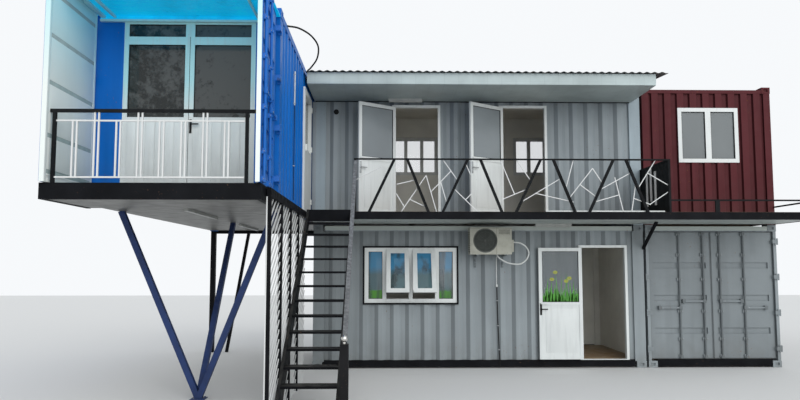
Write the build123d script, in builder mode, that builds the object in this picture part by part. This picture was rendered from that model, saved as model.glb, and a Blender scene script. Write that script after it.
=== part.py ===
from build123d import *
import math
import os

os.makedirs("parts", exist_ok=True)

# Shipping container cabin, in millimetres.
# Five twenty foot steel containers in two storeys, with a deck, a stair and a balcony.
# Building coordinates run from the front left foot of the lower long container:
# x to the right, y into the depth, z up. place() moves them to the part's origin,
# which is the middle of the whole footprint at ground level.

# Containers
unit_length = 6058.0
unit_width = 2438.0
unit_height = 2591.0
unit_gap = 36.0
balcony_unit_forward = 3650.0

# Frame of a container
post_along = 208.0
post_across = 130.0
casting_long = 178.0
casting_wide = 162.0
casting_tall = 118.0
casting_proud = 6.0
pocket_wide = 78.0
pocket_tall = 50.0
pocket_deep = 24.0
rail_deep = 60.0
bottom_rail_low = 22.0
bottom_rail_high = 145.0
top_rail_high = 2565.0
red_rail_drop = 25.0
rail_inset = 6.0

# Walls: trapezoid corrugation outside, flat lining inside
rib_flat = 72.0
rib_slope = 68.0
valley_flat = 70.0
rib_deep = 36.0
end_rib_flat = 121.0
end_rib_slope = 20.0
end_valley_flat = 80.0
wall_inset = 10.0
wall_thick = 84.0

# Floors and roofs
floor_thick = 40.0
joist_deep = 70.0
joist_thick = 50.0
joist_count = 5
roof_thick = 34.0
roof_rib_tall = 20.0
ceiling_thick = 30.0

# Windows
window_left = 905.0
window_right = 2643.0
window_bottom = 1140.0
window_top = 2198.0
trim_wide = 30.0
trim_proud = 22.0
frame_bar = 72.0
frame_deep = 60.0
sash_bar = 76.0
sash_thick = 28.0
sash_tilt = 27.0
glass_thick = 6.0
rear_window_width = 1060.0
rear_window_height = 840.0
rear_window_sill = 1242.0
rear_window_lefts = (1400.0, 4130.0)
lower_rear_window_left = 1040.0
lower_rear_window_width = 1660.0
red_window_left = 675.0
red_window_width = 1135.0
red_window_sill = 1165.0
red_window_height = 1030.0
red_mullion_wide = 104.0

# Doors
door_outer_width = 890.0
door_outer_height = 2070.0
jamb_wide = 45.0
jamb_deep = 90.0
jamb_proud = 30.0
door_clearance = 5.0
leaf_thick = 40.0
stile_wide = 62.0
leaf_panel_height = 960.0
leaf_panel_inset = 10.0
hinge_ahead = 7.0
knuckle_radius = 6.0
knuckle_tall = 90.0
entrance_left = 4845.0
upper_door_lefts = (1435.0, 3413.0)
upper_door_opened = 146.0

# Container doors
door_post_wide = 60.0
cargo_leaf_thick = 50.0
cargo_leaf_back = 50.0
cargo_leaf_gap = 6.0
cargo_pin_in = -8.0
cargo_pin_ahead = 14.0
cargo_blade_tall = 70.0
cargo_blade_thick = 12.0
cargo_knuckle_radius = 10.0
lock_rod_radius = 17.0
lock_rod_ahead = 24.0
lock_rod_offsets = (155.0, 600.0)
panel_rib_deep = 26.0

# Deck along the front
deck_reach = 1245.0
deck_top = 2726.0
deck_beam_tall = 124.0
deck_beam_thick = 50.0
deck_plate_thick = 24.0
deck_soffit_thick = 10.0
deck_soffit_low = 2606.0
bracket_reach = 640.0
bracket_drop = 450.0
bracket_bar = 44.0

# Railings
rail_height = 885.0
rail_bar = 36.0
rail_top_tall = 24.0
zigzag_bar = 44.0
zigzag_first = 1040.0
zigzag_rise_run = 430.0
zigzag_top_gap = 200.0
zigzag_fall_run = 360.0
zigzag_pitch = 1215.0
crack_bar = 13.0
low_rail_height = 210.0
low_rail_bar = 26.0
low_post_wide = 74.0
end_rail_middle = 6040.0
end_panel_thick = 12.0
end_bar_depths = (315.0, 490.0, 680.0)
end_bar_lows = (172.0, 250.0, 166.0)
end_bar_tall = 590.0

# Stair
stair_left = 30.0
stair_right = 785.0
stair_risers = 14
stair_going = 228.0
tread_thick = 26.0
tread_deep = 240.0
stringer_thick = 40.0
stringer_deep = 180.0
landing_beam_tall = 190.0
newel_bar = 100.0
newel_height = 915.0
newel_ball_radius = 41.0
newel_neck_radius = 16.0
newel_neck_tall = 26.0
handrail_bar = 56.0
screen_bar = 50.0
screen_reach = 4530.0
screen_lap = 20.0
screen_post_depths = (3700.0, 2920.0, 2140.0)
slat_tall = 18.0
slat_thick = 12.0
slat_pitch = 120.0
slat_slope = 0.62

# Balcony container
leaf_reach = 1170.0
right_leaf_opened = 92.5
right_leaf_swing = 48.0
balcony_rail_height = 820.0
balcony_beam_tall = 182.0
balcony_beam_thick = 50.0
balcony_frame_low = 54.0
balcony_frame_high = 700.0
balcony_bar = 18.0
balcony_bar_pitch = 238.0
balcony_pair_gap = 45.0
balcony_roof_thick = 12.0
underside_thick = 10.0
strut_bar = 80.0
rear_strut_bar = 60.0
rear_column = 100.0
rear_strut_foot = -2100.0
rear_strut_top = -1660.0
plate_wide = 110.0
plate_low = 30.0
plate_high = 110.0

# Roof over the deck
awning_front = 1180.0
awning_low = 4919.0
fascia_tall = 155.0
fascia_thick = 24.0
soffit_thick = 16.0
soffit_drop = 40.0
sheet_thick = 6.0
sheet_overhang = 60.0
sheet_slope = 0.1
wave_pitch = 81.0
wave_tall = 16.0
purlin_wide = 50.0

# Air conditioner, lamps and vent
ac_left = 2812.0
ac_wide = 741.0
ac_front = -400.0
ac_back = -110.0
ac_low = 2039.0
ac_high = 2516.0
ac_cover_wide = 45.0
ac_cover_low = 2085.0
ac_cover_high = 2300.0
fan_middle_x = 3083.0
fan_middle_z = 2285.0
fan_radius = 196.0
fan_deep = 30.0
fan_ring_radii = (60.0, 108.0, 156.0)
fan_wire = 7.0
lamp_wide = 55.0
lamp_tall = 40.0
vent_x = 400.0
vent_z = 4680.0
vent_radius = 48.0
vent_thick = 16.0

# Smaller sizes
roof_rib_pitch = 420.0
sash_wide = 478.0
sill_tall = 12.0
hinge_levels = (260.0, 1020.0, 1780.0)
knuckle_gap = 0.6
seat_gap = 0.3
handle_level = 1010.0
handle_plate = 36.0
handle_plate_thick = 5.0
handle_plate_tall = 210.0
handle_reach = 32.0
handle_bar = 12.0
handle_long = 110.0
cargo_stile = 90.0
grey_troughs = (655.0, 1250.0, 1845.0)
blue_troughs = (290.0, 775.0, 1260.0, 1745.0, 2230.0)
trough_tall = 110.0
cargo_hinge_levels = (300.0, 950.0, 1600.0, 2250.0)
rod_guide_levels = (170.0, 480.0, 980.0, 1560.0, 2010.0, 2390.0)
rod_guide_wide = 90.0
rod_guide_tall = 60.0
cargo_handle_level = 1180.0
cargo_handle_long = 400.0
handle_drop = -120.0
handle_arm = 30.0
lug_tall = 24.0
lug_run = 46.0
blue_panel_wide = 357.0
blue_panel_right_wide = 265.0
glazed_back = 20.0
glazed_stile = 60.0
glazed_rail = 104.0
top_light_tall = 270.0
glazed_panel_tall = 1000.0
side_door_proud = 20.0
side_door_rail = 105.0
side_glass_sill = 1075.0
side_joint_deep = 8.0
side_hinge_deep = 16.0
side_hinge_levels = (180.0, 1120.0, 1830.0)

# Worked out from the values above
top_rail_low = unit_height - casting_tall
end_ribs = (end_rib_flat, end_rib_slope, end_valley_flat)
right_unit_left = unit_length + unit_gap
right_unit_right = right_unit_left + unit_width
balcony_unit_right = -unit_gap
balcony_unit_left = balcony_unit_right - unit_width
balcony_unit_back = unit_length - balcony_unit_forward
stair_foot = deck_reach + (stair_risers - 1) * stair_going + 10.0
front_reach = max(balcony_unit_forward + leaf_reach, stair_foot)
origin_x = (right_unit_right + balcony_unit_left) / 2
origin_y = (unit_length - front_reach) / 2
low_corner = (Align.MIN, Align.MIN, Align.MIN)
foot_align = (Align.CENTER, Align.CENTER, Align.MIN)
riser = deck_top / stair_risers


def place(x, y, z):
    """A point of the building, moved to the part's origin."""
    return (x - origin_x, y - origin_y, z)


def block(x1, x2, y1, y2, z1, z2, mode=Mode.ADD):
    """A box between two corners, in building coordinates."""
    with Locations(place(x1, y1, z1)):
        Box(x2 - x1, y2 - y1, z2 - z1, align=low_corner, mode=mode)


def bar(start, end, wide, deep, across=(0, 1, 0), mode=Mode.ADD):
    """A straight bar of rectangular section between two points of the building."""
    p1 = Vector(*place(*start))
    p2 = Vector(*place(*end))
    middle = (p1 + p2) * 0.5
    along = (p2 - p1).normalized()
    with Locations(Plane(origin=middle, x_dir=Vector(*across).cross(along), z_dir=along)):
        Box(wide, deep, (p2 - p1).length, mode=mode)


def finish(builder, name):
    """Label a finished piece and write its file."""
    builder.part.label = name
    export_step(builder.part, f"parts/{name}.step")


def stick(radius, tall, sides=8):
    """An upright many-sided bar that stands on the origin."""
    with BuildPart() as upright:
        with BuildSketch():
            RegularPolygon(radius, sides)
        extrude(amount=tall)
    return upright.part


def corrugated_wall(x, y, z, direction, length, height, ribs=(rib_flat, rib_slope, valley_flat)):
    """A wall with ribs outside and a flat lining inside, from its outer lower corner.

    The inside lies to the left of the direction in which the wall runs."""
    flat, slant, valley = ribs
    step = flat + 2 * slant + valley
    count = int((length + valley) // step)
    margin = (length + valley - count * step) / 2
    points = [(0, wall_thick), (0, rib_deep)]
    for i in range(count):
        start = margin + i * step
        points.append((start, rib_deep))
        points.append((start + slant, 0))
        points.append((start + slant + flat, 0))
        points.append((start + 2 * slant + flat, rib_deep))
    points += [(length, rib_deep), (length, wall_thick)]
    plane = Plane(origin=place(x, y, z), x_dir=direction, z_dir=(0, 0, 1))
    with BuildPart() as wall:
        with BuildSketch(plane):
            with BuildLine():
                Polyline(*points, close=True)
            make_face()
        extrude(amount=height)
    return wall.part


def posts(x, y, z, wide_x, wide_y, long_axis, front_post=None):
    """Four corner posts, each with its two corner castings and their pockets.

    long_axis is the side along which a post is widest: x or y."""
    front_pockets = []
    side_pockets = []
    top_pockets = []
    if long_axis == "x":
        size = (post_along, post_across)
        casting = (casting_long, casting_wide)
    else:
        size = (post_across, post_along)
        casting = (casting_wide, casting_long)
    for right in (False, True):
        for back in (False, True):
            px = size[0]
            if front_post and not back:
                px = front_post
            x1 = x + wide_x - px if right else x
            y1 = y + wide_y - size[1] if back else y
            inset = casting_proud
            block(
                x1 + (0 if right else inset), x1 + px - (inset if right else 0),
                y1 + (0 if back else inset), y1 + size[1] - (inset if back else 0),
                z + casting_tall, z + unit_height - casting_tall,
            )
            cx = x + wide_x - casting[0] if right else x
            cy = y + wide_y - casting[1] if back else y
            for level in (z, z + unit_height - casting_tall):
                block(cx, cx + casting[0], cy, cy + casting[1], level, level + casting_tall)
                middle = (cx + casting[0] / 2, cy + casting[1] / 2, level + casting_tall / 2)
                front_pockets.append(place(middle[0], cy + (casting[1] if back else 0), middle[2]))
                side_pockets.append(place(cx + (casting[0] if right else 0), middle[1], middle[2]))
            if z > 0:
                top_pockets.append(place(cx + casting[0] / 2, cy + casting[1] / 2, z + unit_height))
    with Locations(*front_pockets):
        Box(pocket_wide, 2 * pocket_deep, pocket_tall, mode=Mode.SUBTRACT)
    with Locations(*side_pockets):
        Box(2 * pocket_deep, pocket_wide, pocket_tall, mode=Mode.SUBTRACT)
    if top_pockets:
        with Locations(*top_pockets):
            Box(pocket_tall, pocket_wide, 2 * pocket_deep, mode=Mode.SUBTRACT)


def rails(x, y, z, wide_x, wide_y, end_x, end_y, low, high):
    """Four horizontal rails between the corner castings, at one height."""
    block(x + end_x, x + wide_x - end_x, y + rail_inset, y + rail_inset + rail_deep, z + low, z + high)
    block(
        x + end_x, x + wide_x - end_x,
        y + wide_y - rail_inset - rail_deep, y + wide_y - rail_inset, z + low, z + high,
    )
    block(x + rail_inset, x + rail_inset + rail_deep, y + end_y, y + wide_y - end_y, z + low, z + high)
    block(
        x + wide_x - rail_inset - rail_deep, x + wide_x - rail_inset,
        y + end_y, y + wide_y - end_y, z + low, z + high,
    )


wall_low = bottom_rail_high
wall_high = top_rail_low
wall_tall = wall_high - wall_low


def front_panel(x, y, z, wide_x, post, *ribs):
    """The corrugated wall between the posts of a front side."""
    return corrugated_wall(
        x + post, y + wall_inset, z + wall_low, (1, 0, 0), wide_x - 2 * post, wall_tall, *ribs
    )


def back_panel(x, y, z, wide_x, wide_y, post, *ribs):
    start = x + wide_x - post
    return corrugated_wall(
        start, y + wide_y - wall_inset, z + wall_low, (-1, 0, 0), wide_x - 2 * post, wall_tall, *ribs
    )


def left_panel(x, y, z, wide_y, post):
    start = y + wide_y - post
    return corrugated_wall(x + wall_inset, start, z + wall_low, (0, -1, 0), wide_y - 2 * post, wall_tall)


def right_panel(x, y, z, wide_x, wide_y, post):
    return corrugated_wall(
        x + wide_x - wall_inset, y + post, z + wall_low, (0, 1, 0), wide_y - 2 * post, wall_tall
    )


long_unit = (unit_length, unit_width)
deep_unit = (unit_width, unit_length)
storey = unit_height
rail_end_long = casting_long
rail_end_wide = casting_wide

# Corner posts of the two lower containers
with BuildPart() as lower_corner_posts:
    posts(0, 0, 0, *long_unit, "x")
    posts(right_unit_left, 0, 0, *deep_unit, "y", front_post=door_post_wide)
finish(lower_corner_posts, "lower_corner_posts")

with BuildPart() as upper_corner_posts:
    posts(0, 0, storey, *long_unit, "x")
finish(upper_corner_posts, "upper_corner_posts")

with BuildPart() as red_corner_posts:
    posts(right_unit_left, 0, storey, *deep_unit, "y")
finish(red_corner_posts, "red_corner_posts")

with BuildPart() as blue_corner_posts:
    posts(balcony_unit_left, -balcony_unit_forward, storey, *deep_unit, "y", front_post=door_post_wide)
finish(blue_corner_posts, "blue_corner_posts")

# Rails
with BuildPart() as base_rails:
    rails(0, 0, 0, *long_unit, rail_end_long + 30, rail_end_wide, bottom_rail_low, bottom_rail_high)
    rails(
        right_unit_left, 0, 0, *deep_unit, rail_end_wide, rail_end_long + 30,
        bottom_rail_low, bottom_rail_high,
    )
finish(base_rails, "base_rails")

with BuildPart() as grey_rails:
    rails(0, 0, 0, *long_unit, rail_end_long + 30, rail_end_wide, top_rail_low, top_rail_high)
    rails(
        right_unit_left, 0, 0, *deep_unit, rail_end_wide, rail_end_long + 30, top_rail_low, top_rail_high
    )
    for low, high in ((bottom_rail_low, bottom_rail_high), (top_rail_low, top_rail_high)):
        rails(0, 0, storey, *long_unit, rail_end_long + 30, rail_end_wide, low, high)
finish(grey_rails, "grey_rails")

with BuildPart() as red_rails:
    for low, high in ((bottom_rail_low, bottom_rail_high), (top_rail_low, top_rail_high - red_rail_drop)):
        rails(right_unit_left, 0, storey, *deep_unit, rail_end_wide, rail_end_long + 30, low, high)
finish(red_rails, "red_rails")

with BuildPart() as blue_rails:
    for low, high in ((bottom_rail_low, bottom_rail_high), (top_rail_low, top_rail_high)):
        rails(
            balcony_unit_left, -balcony_unit_forward, storey, *deep_unit,
            rail_end_wide, rail_end_long + 30, low, high,
        )
finish(blue_rails, "blue_rails")

# Lower long container: front wall in two pieces beside the doorway, and its head
entrance_right = entrance_left + door_outer_width
door_foot = bottom_rail_high
door_head = door_foot + door_outer_height
front_sheet = front_panel(0, 0, 0, unit_length, post_along)
hole_left = window_left + trim_wide
hole_right = window_right - trim_wide
hole_bottom = window_bottom + trim_wide
hole_top = window_top - trim_wide
lower_back_sheet = back_panel(0, 0, 0, *long_unit, post_along)
lower_rear_head = rear_window_sill + rear_window_height
lower_sheets = [
    left_panel(0, 0, 0, unit_width, post_across),
    right_panel(0, 0, 0, *long_unit, post_across),
    back_panel(right_unit_left, 0, 0, *deep_unit, post_across, end_ribs),
    left_panel(right_unit_left, 0, 0, unit_length, post_along),
    right_panel(right_unit_left, 0, 0, *deep_unit, post_along),
]
with BuildPart() as lower_walls:
    add([front_sheet, lower_back_sheet])
    block(entrance_left, entrance_right, -100, 200, 0, storey, mode=Mode.SUBTRACT)
    block(hole_left, hole_right, -100, 200, hole_bottom, hole_top, mode=Mode.SUBTRACT)
    block(
        lower_rear_window_left, lower_rear_window_left + lower_rear_window_width,
        unit_width - 200, unit_width + 100, rear_window_sill, lower_rear_head, mode=Mode.SUBTRACT,
    )
    add(lower_sheets)
finish(lower_walls, "lower_walls")

# Upper long container
upper_door_foot = storey + door_foot
upper_door_head = storey + door_head
upper_sheet = front_panel(0, 0, storey, unit_length, post_along)
rear_sill = storey + rear_window_sill
rear_head = rear_sill + rear_window_height
upper_back_sheet = back_panel(0, 0, storey, *long_unit, post_along)
upper_left_sheet = left_panel(0, 0, storey, unit_width, post_across)
upper_right_sheet = right_panel(0, 0, storey, *long_unit, post_across)
with BuildPart() as upper_walls:
    add([upper_sheet, upper_back_sheet])
    for left in upper_door_lefts:
        block(left, left + door_outer_width, -100, 200, storey, 2 * storey, mode=Mode.SUBTRACT)
    for left in rear_window_lefts:
        block(
            left, left + rear_window_width, unit_width - 200, unit_width + 100,
            rear_sill, rear_head, mode=Mode.SUBTRACT,
        )
    add([upper_left_sheet, upper_right_sheet])
finish(upper_walls, "upper_walls")

# Wall over the three doorways of the long containers
head_sheets = []
for sheet, left, low in (
    (front_sheet, entrance_left, door_head),
    (upper_sheet, upper_door_lefts[0], upper_door_head),
    (upper_sheet, upper_door_lefts[1], upper_door_head),
):
    with BuildPart() as head_piece:
        add(sheet)
        block(left, left + door_outer_width, -100, 200, low, 2 * storey, mode=Mode.INTERSECT)
    head_sheets.append(head_piece.part)
with BuildPart() as door_heads:
    add(head_sheets)
finish(door_heads, "door_heads")

# Red container
red_left = right_unit_left
red_hole_left = red_left + red_window_left
red_hole_right = red_hole_left + red_window_width
red_hole_bottom = storey + red_window_sill
red_hole_top = red_hole_bottom + red_window_height
red_sheet = front_panel(red_left, 0, storey, unit_width, post_across, end_ribs)
red_sheets = [
    back_panel(red_left, 0, storey, *deep_unit, post_across, end_ribs),
    left_panel(red_left, 0, storey, unit_length, post_along),
    right_panel(red_left, 0, storey, *deep_unit, post_along),
]
with BuildPart() as red_walls:
    add(red_sheet)
    block(
        red_hole_left, red_hole_right, -100, 200, red_hole_bottom, red_hole_top, mode=Mode.SUBTRACT
    )
    add(red_sheets)
finish(red_walls, "red_walls")

# Blue balcony container
blue_left = balcony_unit_left
blue_right = balcony_unit_right
blue_front = -balcony_unit_forward
blue_back = balcony_unit_back
blue_sheets = [
    back_panel(blue_left, blue_front, storey, *deep_unit, post_across, end_ribs),
    left_panel(blue_left, blue_front, storey, unit_length, post_along),
]
side_door_near = -1260.0
side_door_far = -300.0
side_door_foot = storey + bottom_rail_high
side_door_head = side_door_foot + door_outer_height
blue_right_sheet = right_panel(blue_left, blue_front, storey, *deep_unit, post_along)
with BuildPart() as blue_walls:
    add(blue_right_sheet)
    block(
        blue_right - 200, blue_right + 100, side_door_near, side_door_far,
        side_door_foot, side_door_head, mode=Mode.SUBTRACT,
    )
    add(blue_sheets)
finish(blue_walls, "blue_walls")


def floor(x, y, z, wide_x, wide_y):
    """A floor plate inside the bottom rails, with joists under it."""
    inset = rail_inset + rail_deep
    top = z + bottom_rail_high
    block(
        x + inset, x + wide_x - inset, y + post_along, y + wide_y - post_along, top - floor_thick, top
    )
    low = top - floor_thick - joist_deep
    middle_x = x + wide_x / 2
    middle_y = y + wide_y / 2
    if wide_x > wide_y:
        step = (wide_x - 2 * inset) / joist_count
        size = (joist_thick, wide_y - 2 * post_along)
        starts = [(middle_x + (i - (joist_count - 1) / 2) * step, middle_y) for i in range(joist_count)]
    else:
        step = (wide_y - 2 * post_along) / joist_count
        size = (wide_x - 2 * inset, joist_thick)
        starts = [(middle_x, middle_y + (i - (joist_count - 1) / 2) * step) for i in range(joist_count)]
    with Locations(*[place(sx, sy, low) for sx, sy in starts]):
        Box(*size, joist_deep, align=foot_align)


with BuildPart() as floors:
    floor(0, 0, 0, *long_unit)
    floor(right_unit_left, 0, 0, *deep_unit)
    floor(0, 0, storey, *long_unit)
    floor(red_left, 0, storey, *deep_unit)
    floor(blue_left, blue_front, storey, *deep_unit)
finish(floors, "floors")


def casting_notches(x, y, z, wide_x, wide_y):
    """Cut a roof away at the four top castings."""
    cx, cy = (casting_long, casting_wide) if wide_x > wide_y else (casting_wide, casting_long)
    for x1 in (x, x + wide_x - cx):
        for y1 in (y, y + wide_y - cy):
            block(
                x1, x1 + cx, y1, y1 + cy, z + unit_height - casting_tall, z + unit_height,
                mode=Mode.SUBTRACT,
            )


def roof(x, y, z, wide_x, wide_y):
    """A flat roof panel between the top rails, just under the castings' top."""
    inset = rail_inset + rail_deep
    block(
        x + inset, x + wide_x - inset, y + inset, y + wide_y - inset,
        z + top_rail_high - roof_thick - ceiling_thick, z + top_rail_high - roof_thick,
    )
    casting_notches(x, y, z, wide_x, wide_y)


with BuildPart() as grey_roofs:
    roof(0, 0, 0, *long_unit)
    roof(right_unit_left, 0, 0, *deep_unit)
    roof(0, 0, storey, *long_unit)
finish(grey_roofs, "grey_roofs")


def ribbed_roof(x, y, z, wide_x, wide_y):
    """A steel roof with shallow ribs that run across the container, as one closed sheet."""
    inset = rail_inset + rail_deep
    length = wide_y - 2 * inset
    step = roof_rib_pitch
    count = int((length - 200) // step)
    margin = (length - count * step) / 2
    points = [(0, 0), (0, ceiling_thick)]
    for i in range(count):
        start = margin + i * step
        points.append((start, ceiling_thick))
        points.append((start + step / 6, ceiling_thick + roof_rib_tall))
        points.append((start + step / 2, ceiling_thick + roof_rib_tall))
        points.append((start + step * 2 / 3, ceiling_thick))
    points += [(length, ceiling_thick), (length, 0)]
    low = z + top_rail_high - roof_thick - ceiling_thick
    plane = Plane(origin=place(x + inset, y + inset, low), x_dir=(0, 1, 0), z_dir=(1, 0, 0))
    with BuildPart() as sheet:
        with BuildSketch(plane):
            with BuildLine():
                Polyline(*points, close=True)
            make_face()
        extrude(amount=wide_x - 2 * inset)
    return sheet.part


with BuildPart() as red_roof:
    add(ribbed_roof(red_left, 0, storey - red_rail_drop, *deep_unit))
    casting_notches(red_left, 0, storey, *deep_unit)
finish(red_roof, "red_roof")

with BuildPart() as blue_roof:
    add(ribbed_roof(blue_left, blue_front, storey, *deep_unit))
    casting_notches(blue_left, blue_front, storey, *deep_unit)
finish(blue_roof, "blue_roof")


def window_frame(x, z, wide, tall, y_front, mullions, bar_wide=frame_bar):
    """A frame in a wall opening with upright bars at the given distances from its left side."""
    for left in (x, x + wide - frame_bar):
        block(left, left + frame_bar, y_front, y_front + frame_deep, z, z + tall)
    for low in (z, z + tall - frame_bar):
        block(x + frame_bar, x + wide - frame_bar, y_front, y_front + frame_deep, low, low + frame_bar)
    for centre in mullions:
        left = x + centre - bar_wide / 2
        block(left, left + bar_wide, y_front, y_front + frame_deep, z + frame_bar, z + tall - frame_bar)


def pane(x1, x2, y, z1, z2):
    block(x1, x2, y - glass_thick / 2, y + glass_thick / 2, z1, z2)


hole_wide = hole_right - hole_left
hole_tall = hole_top - hole_bottom
window_middle = hole_wide / 2
lower_mullions = (window_middle - sash_wide, window_middle, window_middle + sash_wide)
sash_lefts = (hole_left + window_middle - sash_wide, hole_left + window_middle)
sash_high = hole_tall - 2 * frame_bar
front_frame_y = 0.0
rear_frame_y = unit_width - frame_deep
red_mullions = (red_window_width / 2,)
rear_windows = [
    (lower_rear_window_left, rear_window_sill, lower_rear_window_width, 4),
    (rear_window_lefts[0], rear_sill, rear_window_width, 3),
    (rear_window_lefts[1], rear_sill, rear_window_width, 3),
]
tilt = math.radians(sash_tilt)
sash_hinge_y = front_frame_y - sash_thick / 2 * math.cos(tilt) - seat_gap


def sash_point(along, out):
    """A point of an open sash: along it from its hinge, and out from its middle plane."""
    y = sash_hinge_y - along * math.sin(tilt) - out * math.cos(tilt)
    z = hole_top - frame_bar / 2 - along * math.cos(tilt) + out * math.sin(tilt)
    return y, z


def sash_bars(left):
    """Two stiles and two rails of a top hung sash, pushed open at its foot."""
    right = left + sash_wide
    top = sash_point(0, 0)
    foot = sash_point(sash_high, 0)
    for x in (left + frame_bar / 2 + sash_bar / 2, right - frame_bar / 2 - sash_bar / 2):
        bar((x, *top), (x, *foot), sash_thick, sash_bar, across=(1, 0, 0))
    for along in (sash_bar / 2, sash_high - sash_bar / 2):
        level = sash_point(along, 0)
        ends = (left + frame_bar / 2, right - frame_bar / 2)
        slope = (0, math.cos(tilt), -math.sin(tilt))
        bar((ends[0], *level), (ends[1], *level), sash_bar, sash_thick, across=slope)


with BuildPart() as window_frames:
    window_frame(hole_left, hole_bottom, hole_wide, hole_tall, front_frame_y, lower_mullions)
    for left in sash_lefts:
        sash_bars(left)
    window_frame(
        red_hole_left, red_hole_bottom, red_window_width, red_window_height,
        front_frame_y, red_mullions, red_mullion_wide,
    )
    for left, sill, wide, lights in rear_windows:
        rear_mullions = [wide * i / lights for i in range(1, lights)]
        window_frame(left, sill, wide, rear_window_height, rear_frame_y, rear_mullions)
finish(window_frames, "window_frames")


def surround(x, z, wide, tall):
    """A flat trim around a window, on the face of the wall."""
    block(x - trim_wide, x + wide + trim_wide, -trim_proud, wall_inset, z - trim_wide, z + tall + trim_wide)
    block(x, x + wide, -2 * trim_proud, 2 * wall_inset, z, z + tall, mode=Mode.SUBTRACT)


with BuildPart() as window_trim:
    surround(hole_left, hole_bottom, hole_wide, hole_tall)
finish(window_trim, "window_trim")


def door_frame(left, foot, head):
    """Two jambs, a head and a thin sill, standing a little proud of the wall."""
    right = left + door_outer_width
    y1 = -jamb_proud
    y2 = y1 + jamb_deep
    for x in (left, right - jamb_wide):
        block(x, x + jamb_wide, y1, y2, foot, head)
    block(left + jamb_wide, right - jamb_wide, y1, y2, head - jamb_wide, head)
    block(left + jamb_wide, right - jamb_wide, y1, y2, foot, foot + sill_tall)


knuckle = stick(knuckle_radius, knuckle_tall, sides=6)


def hinge_barrels(x, foot):
    """The frame's lower barrels of three hinges, on one upright axis."""
    y = -jamb_proud - hinge_ahead
    for level in hinge_levels:
        z = foot + level - knuckle_tall - knuckle_gap / 2
        with Locations(place(x, y, z)):
            add(knuckle)
        block(x - knuckle_radius, x, y, -jamb_proud, z, z + knuckle_tall)


with BuildPart() as door_frames:
    door_frame(entrance_left, door_foot, door_head)
    hinge_barrels(entrance_left + jamb_wide, door_foot)
    for left in upper_door_lefts:
        door_frame(left, upper_door_foot, upper_door_head)
        hinge_barrels(left + jamb_wide, upper_door_foot)
finish(door_frames, "door_frames")

leaf_wide = door_outer_width - 2 * jamb_wide - 2 * door_clearance
leaf_low = sill_tall + door_clearance
leaf_high = door_outer_height - jamb_wide - door_clearance


def leaf_frame():
    """A closed leaf about its hinge axis at x = 0, y = 0: stiles, rails and lower panel."""
    x1 = door_clearance
    x2 = x1 + leaf_wide
    y1 = hinge_ahead
    y2 = y1 + leaf_thick
    mid_low = leaf_low + leaf_panel_height
    mid_high = mid_low + stile_wide
    inset = leaf_panel_inset
    with BuildPart() as leaf:
        pieces = [
            (x1, x1 + stile_wide, y1, y2, leaf_low, leaf_high),
            (x2 - stile_wide, x2, y1, y2, leaf_low, leaf_high),
            (x1 + stile_wide, x2 - stile_wide, y1, y2, leaf_low, leaf_low + stile_wide),
            (x1 + stile_wide, x2 - stile_wide, y1, y2, mid_low, mid_high),
            (x1 + stile_wide, x2 - stile_wide, y1, y2, leaf_high - stile_wide, leaf_high),
            (x1 + stile_wide, x2 - stile_wide, y1 + inset, y2 - inset, leaf_low + stile_wide, mid_low),
        ]
        for p in pieces:
            with Locations((p[0], p[2], p[4])):
                Box(p[1] - p[0], p[3] - p[2], p[5] - p[4], align=low_corner)
        for level in hinge_levels:
            low = level + knuckle_gap / 2
            with Locations((0, 0, low)):
                add(knuckle)
                Box(x1 + 2, hinge_ahead + 2, knuckle_tall, align=low_corner)
        handle_x = x2 - stile_wide / 2
        with Locations((handle_x, (y1 + y2) / 2, handle_level)):
            Box(handle_plate, leaf_thick + 2 * handle_plate_thick, handle_plate_tall)
        for y in (y1 - handle_reach, y2 + handle_reach):
            inner = y1 if y < y1 else y2
            with Locations((handle_x, (y + inner) / 2, handle_level)):
                Box(handle_bar, abs(y - inner) + handle_bar / 2, handle_bar)
            with Locations((handle_x - handle_long / 2, y, handle_level)):
                Box(handle_long + handle_bar, handle_bar, handle_bar)
    return leaf.part


def leaf_glass():
    x1 = door_clearance + stile_wide
    x2 = door_clearance + leaf_wide - stile_wide
    y = hinge_ahead + leaf_thick / 2
    z1 = leaf_low + leaf_panel_height + stile_wide
    z2 = leaf_high - stile_wide
    with BuildPart() as glass:
        with Locations((x1, y - glass_thick / 2, z1)):
            Box(x2 - x1, glass_thick, z2 - z1, align=low_corner)
    return glass.part


def hang(shape, left, foot, opened):
    """Turn a closed leaf about its hinge by the angle it is opened, towards the front."""
    axis = place(left + jamb_wide, -jamb_proud - hinge_ahead, foot)
    return Location(axis, (0, 0, -opened)) * shape


frame_of_leaf = leaf_frame()
glass_of_leaf = leaf_glass()
with BuildPart() as entrance_door:
    add(hang(frame_of_leaf, entrance_left, door_foot, 180))
finish(entrance_door, "entrance_door")

with BuildPart() as entrance_door_glass:
    add(hang(glass_of_leaf, entrance_left, door_foot, 180))
finish(entrance_door_glass, "entrance_door_glass")

with BuildPart() as upper_doors:
    for left in upper_door_lefts:
        add(hang(frame_of_leaf, left, upper_door_foot, upper_door_opened))
finish(upper_doors, "upper_doors")

cargo_low = bottom_rail_high + cargo_leaf_gap
cargo_high = top_rail_low - cargo_leaf_gap
cargo_edge = door_post_wide - cargo_pin_in + cargo_leaf_gap
cargo_wide = unit_width / 2 - cargo_pin_in - cargo_edge - cargo_leaf_gap / 2
cargo_face = cargo_pin_ahead + cargo_leaf_back


cargo_knuckle = stick(cargo_knuckle_radius, cargo_blade_tall, sides=6)
cargo_lug = stick(cargo_knuckle_radius, lug_tall, sides=6)
lock_rod = stick(lock_rod_radius, cargo_high - cargo_low - 16)


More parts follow.
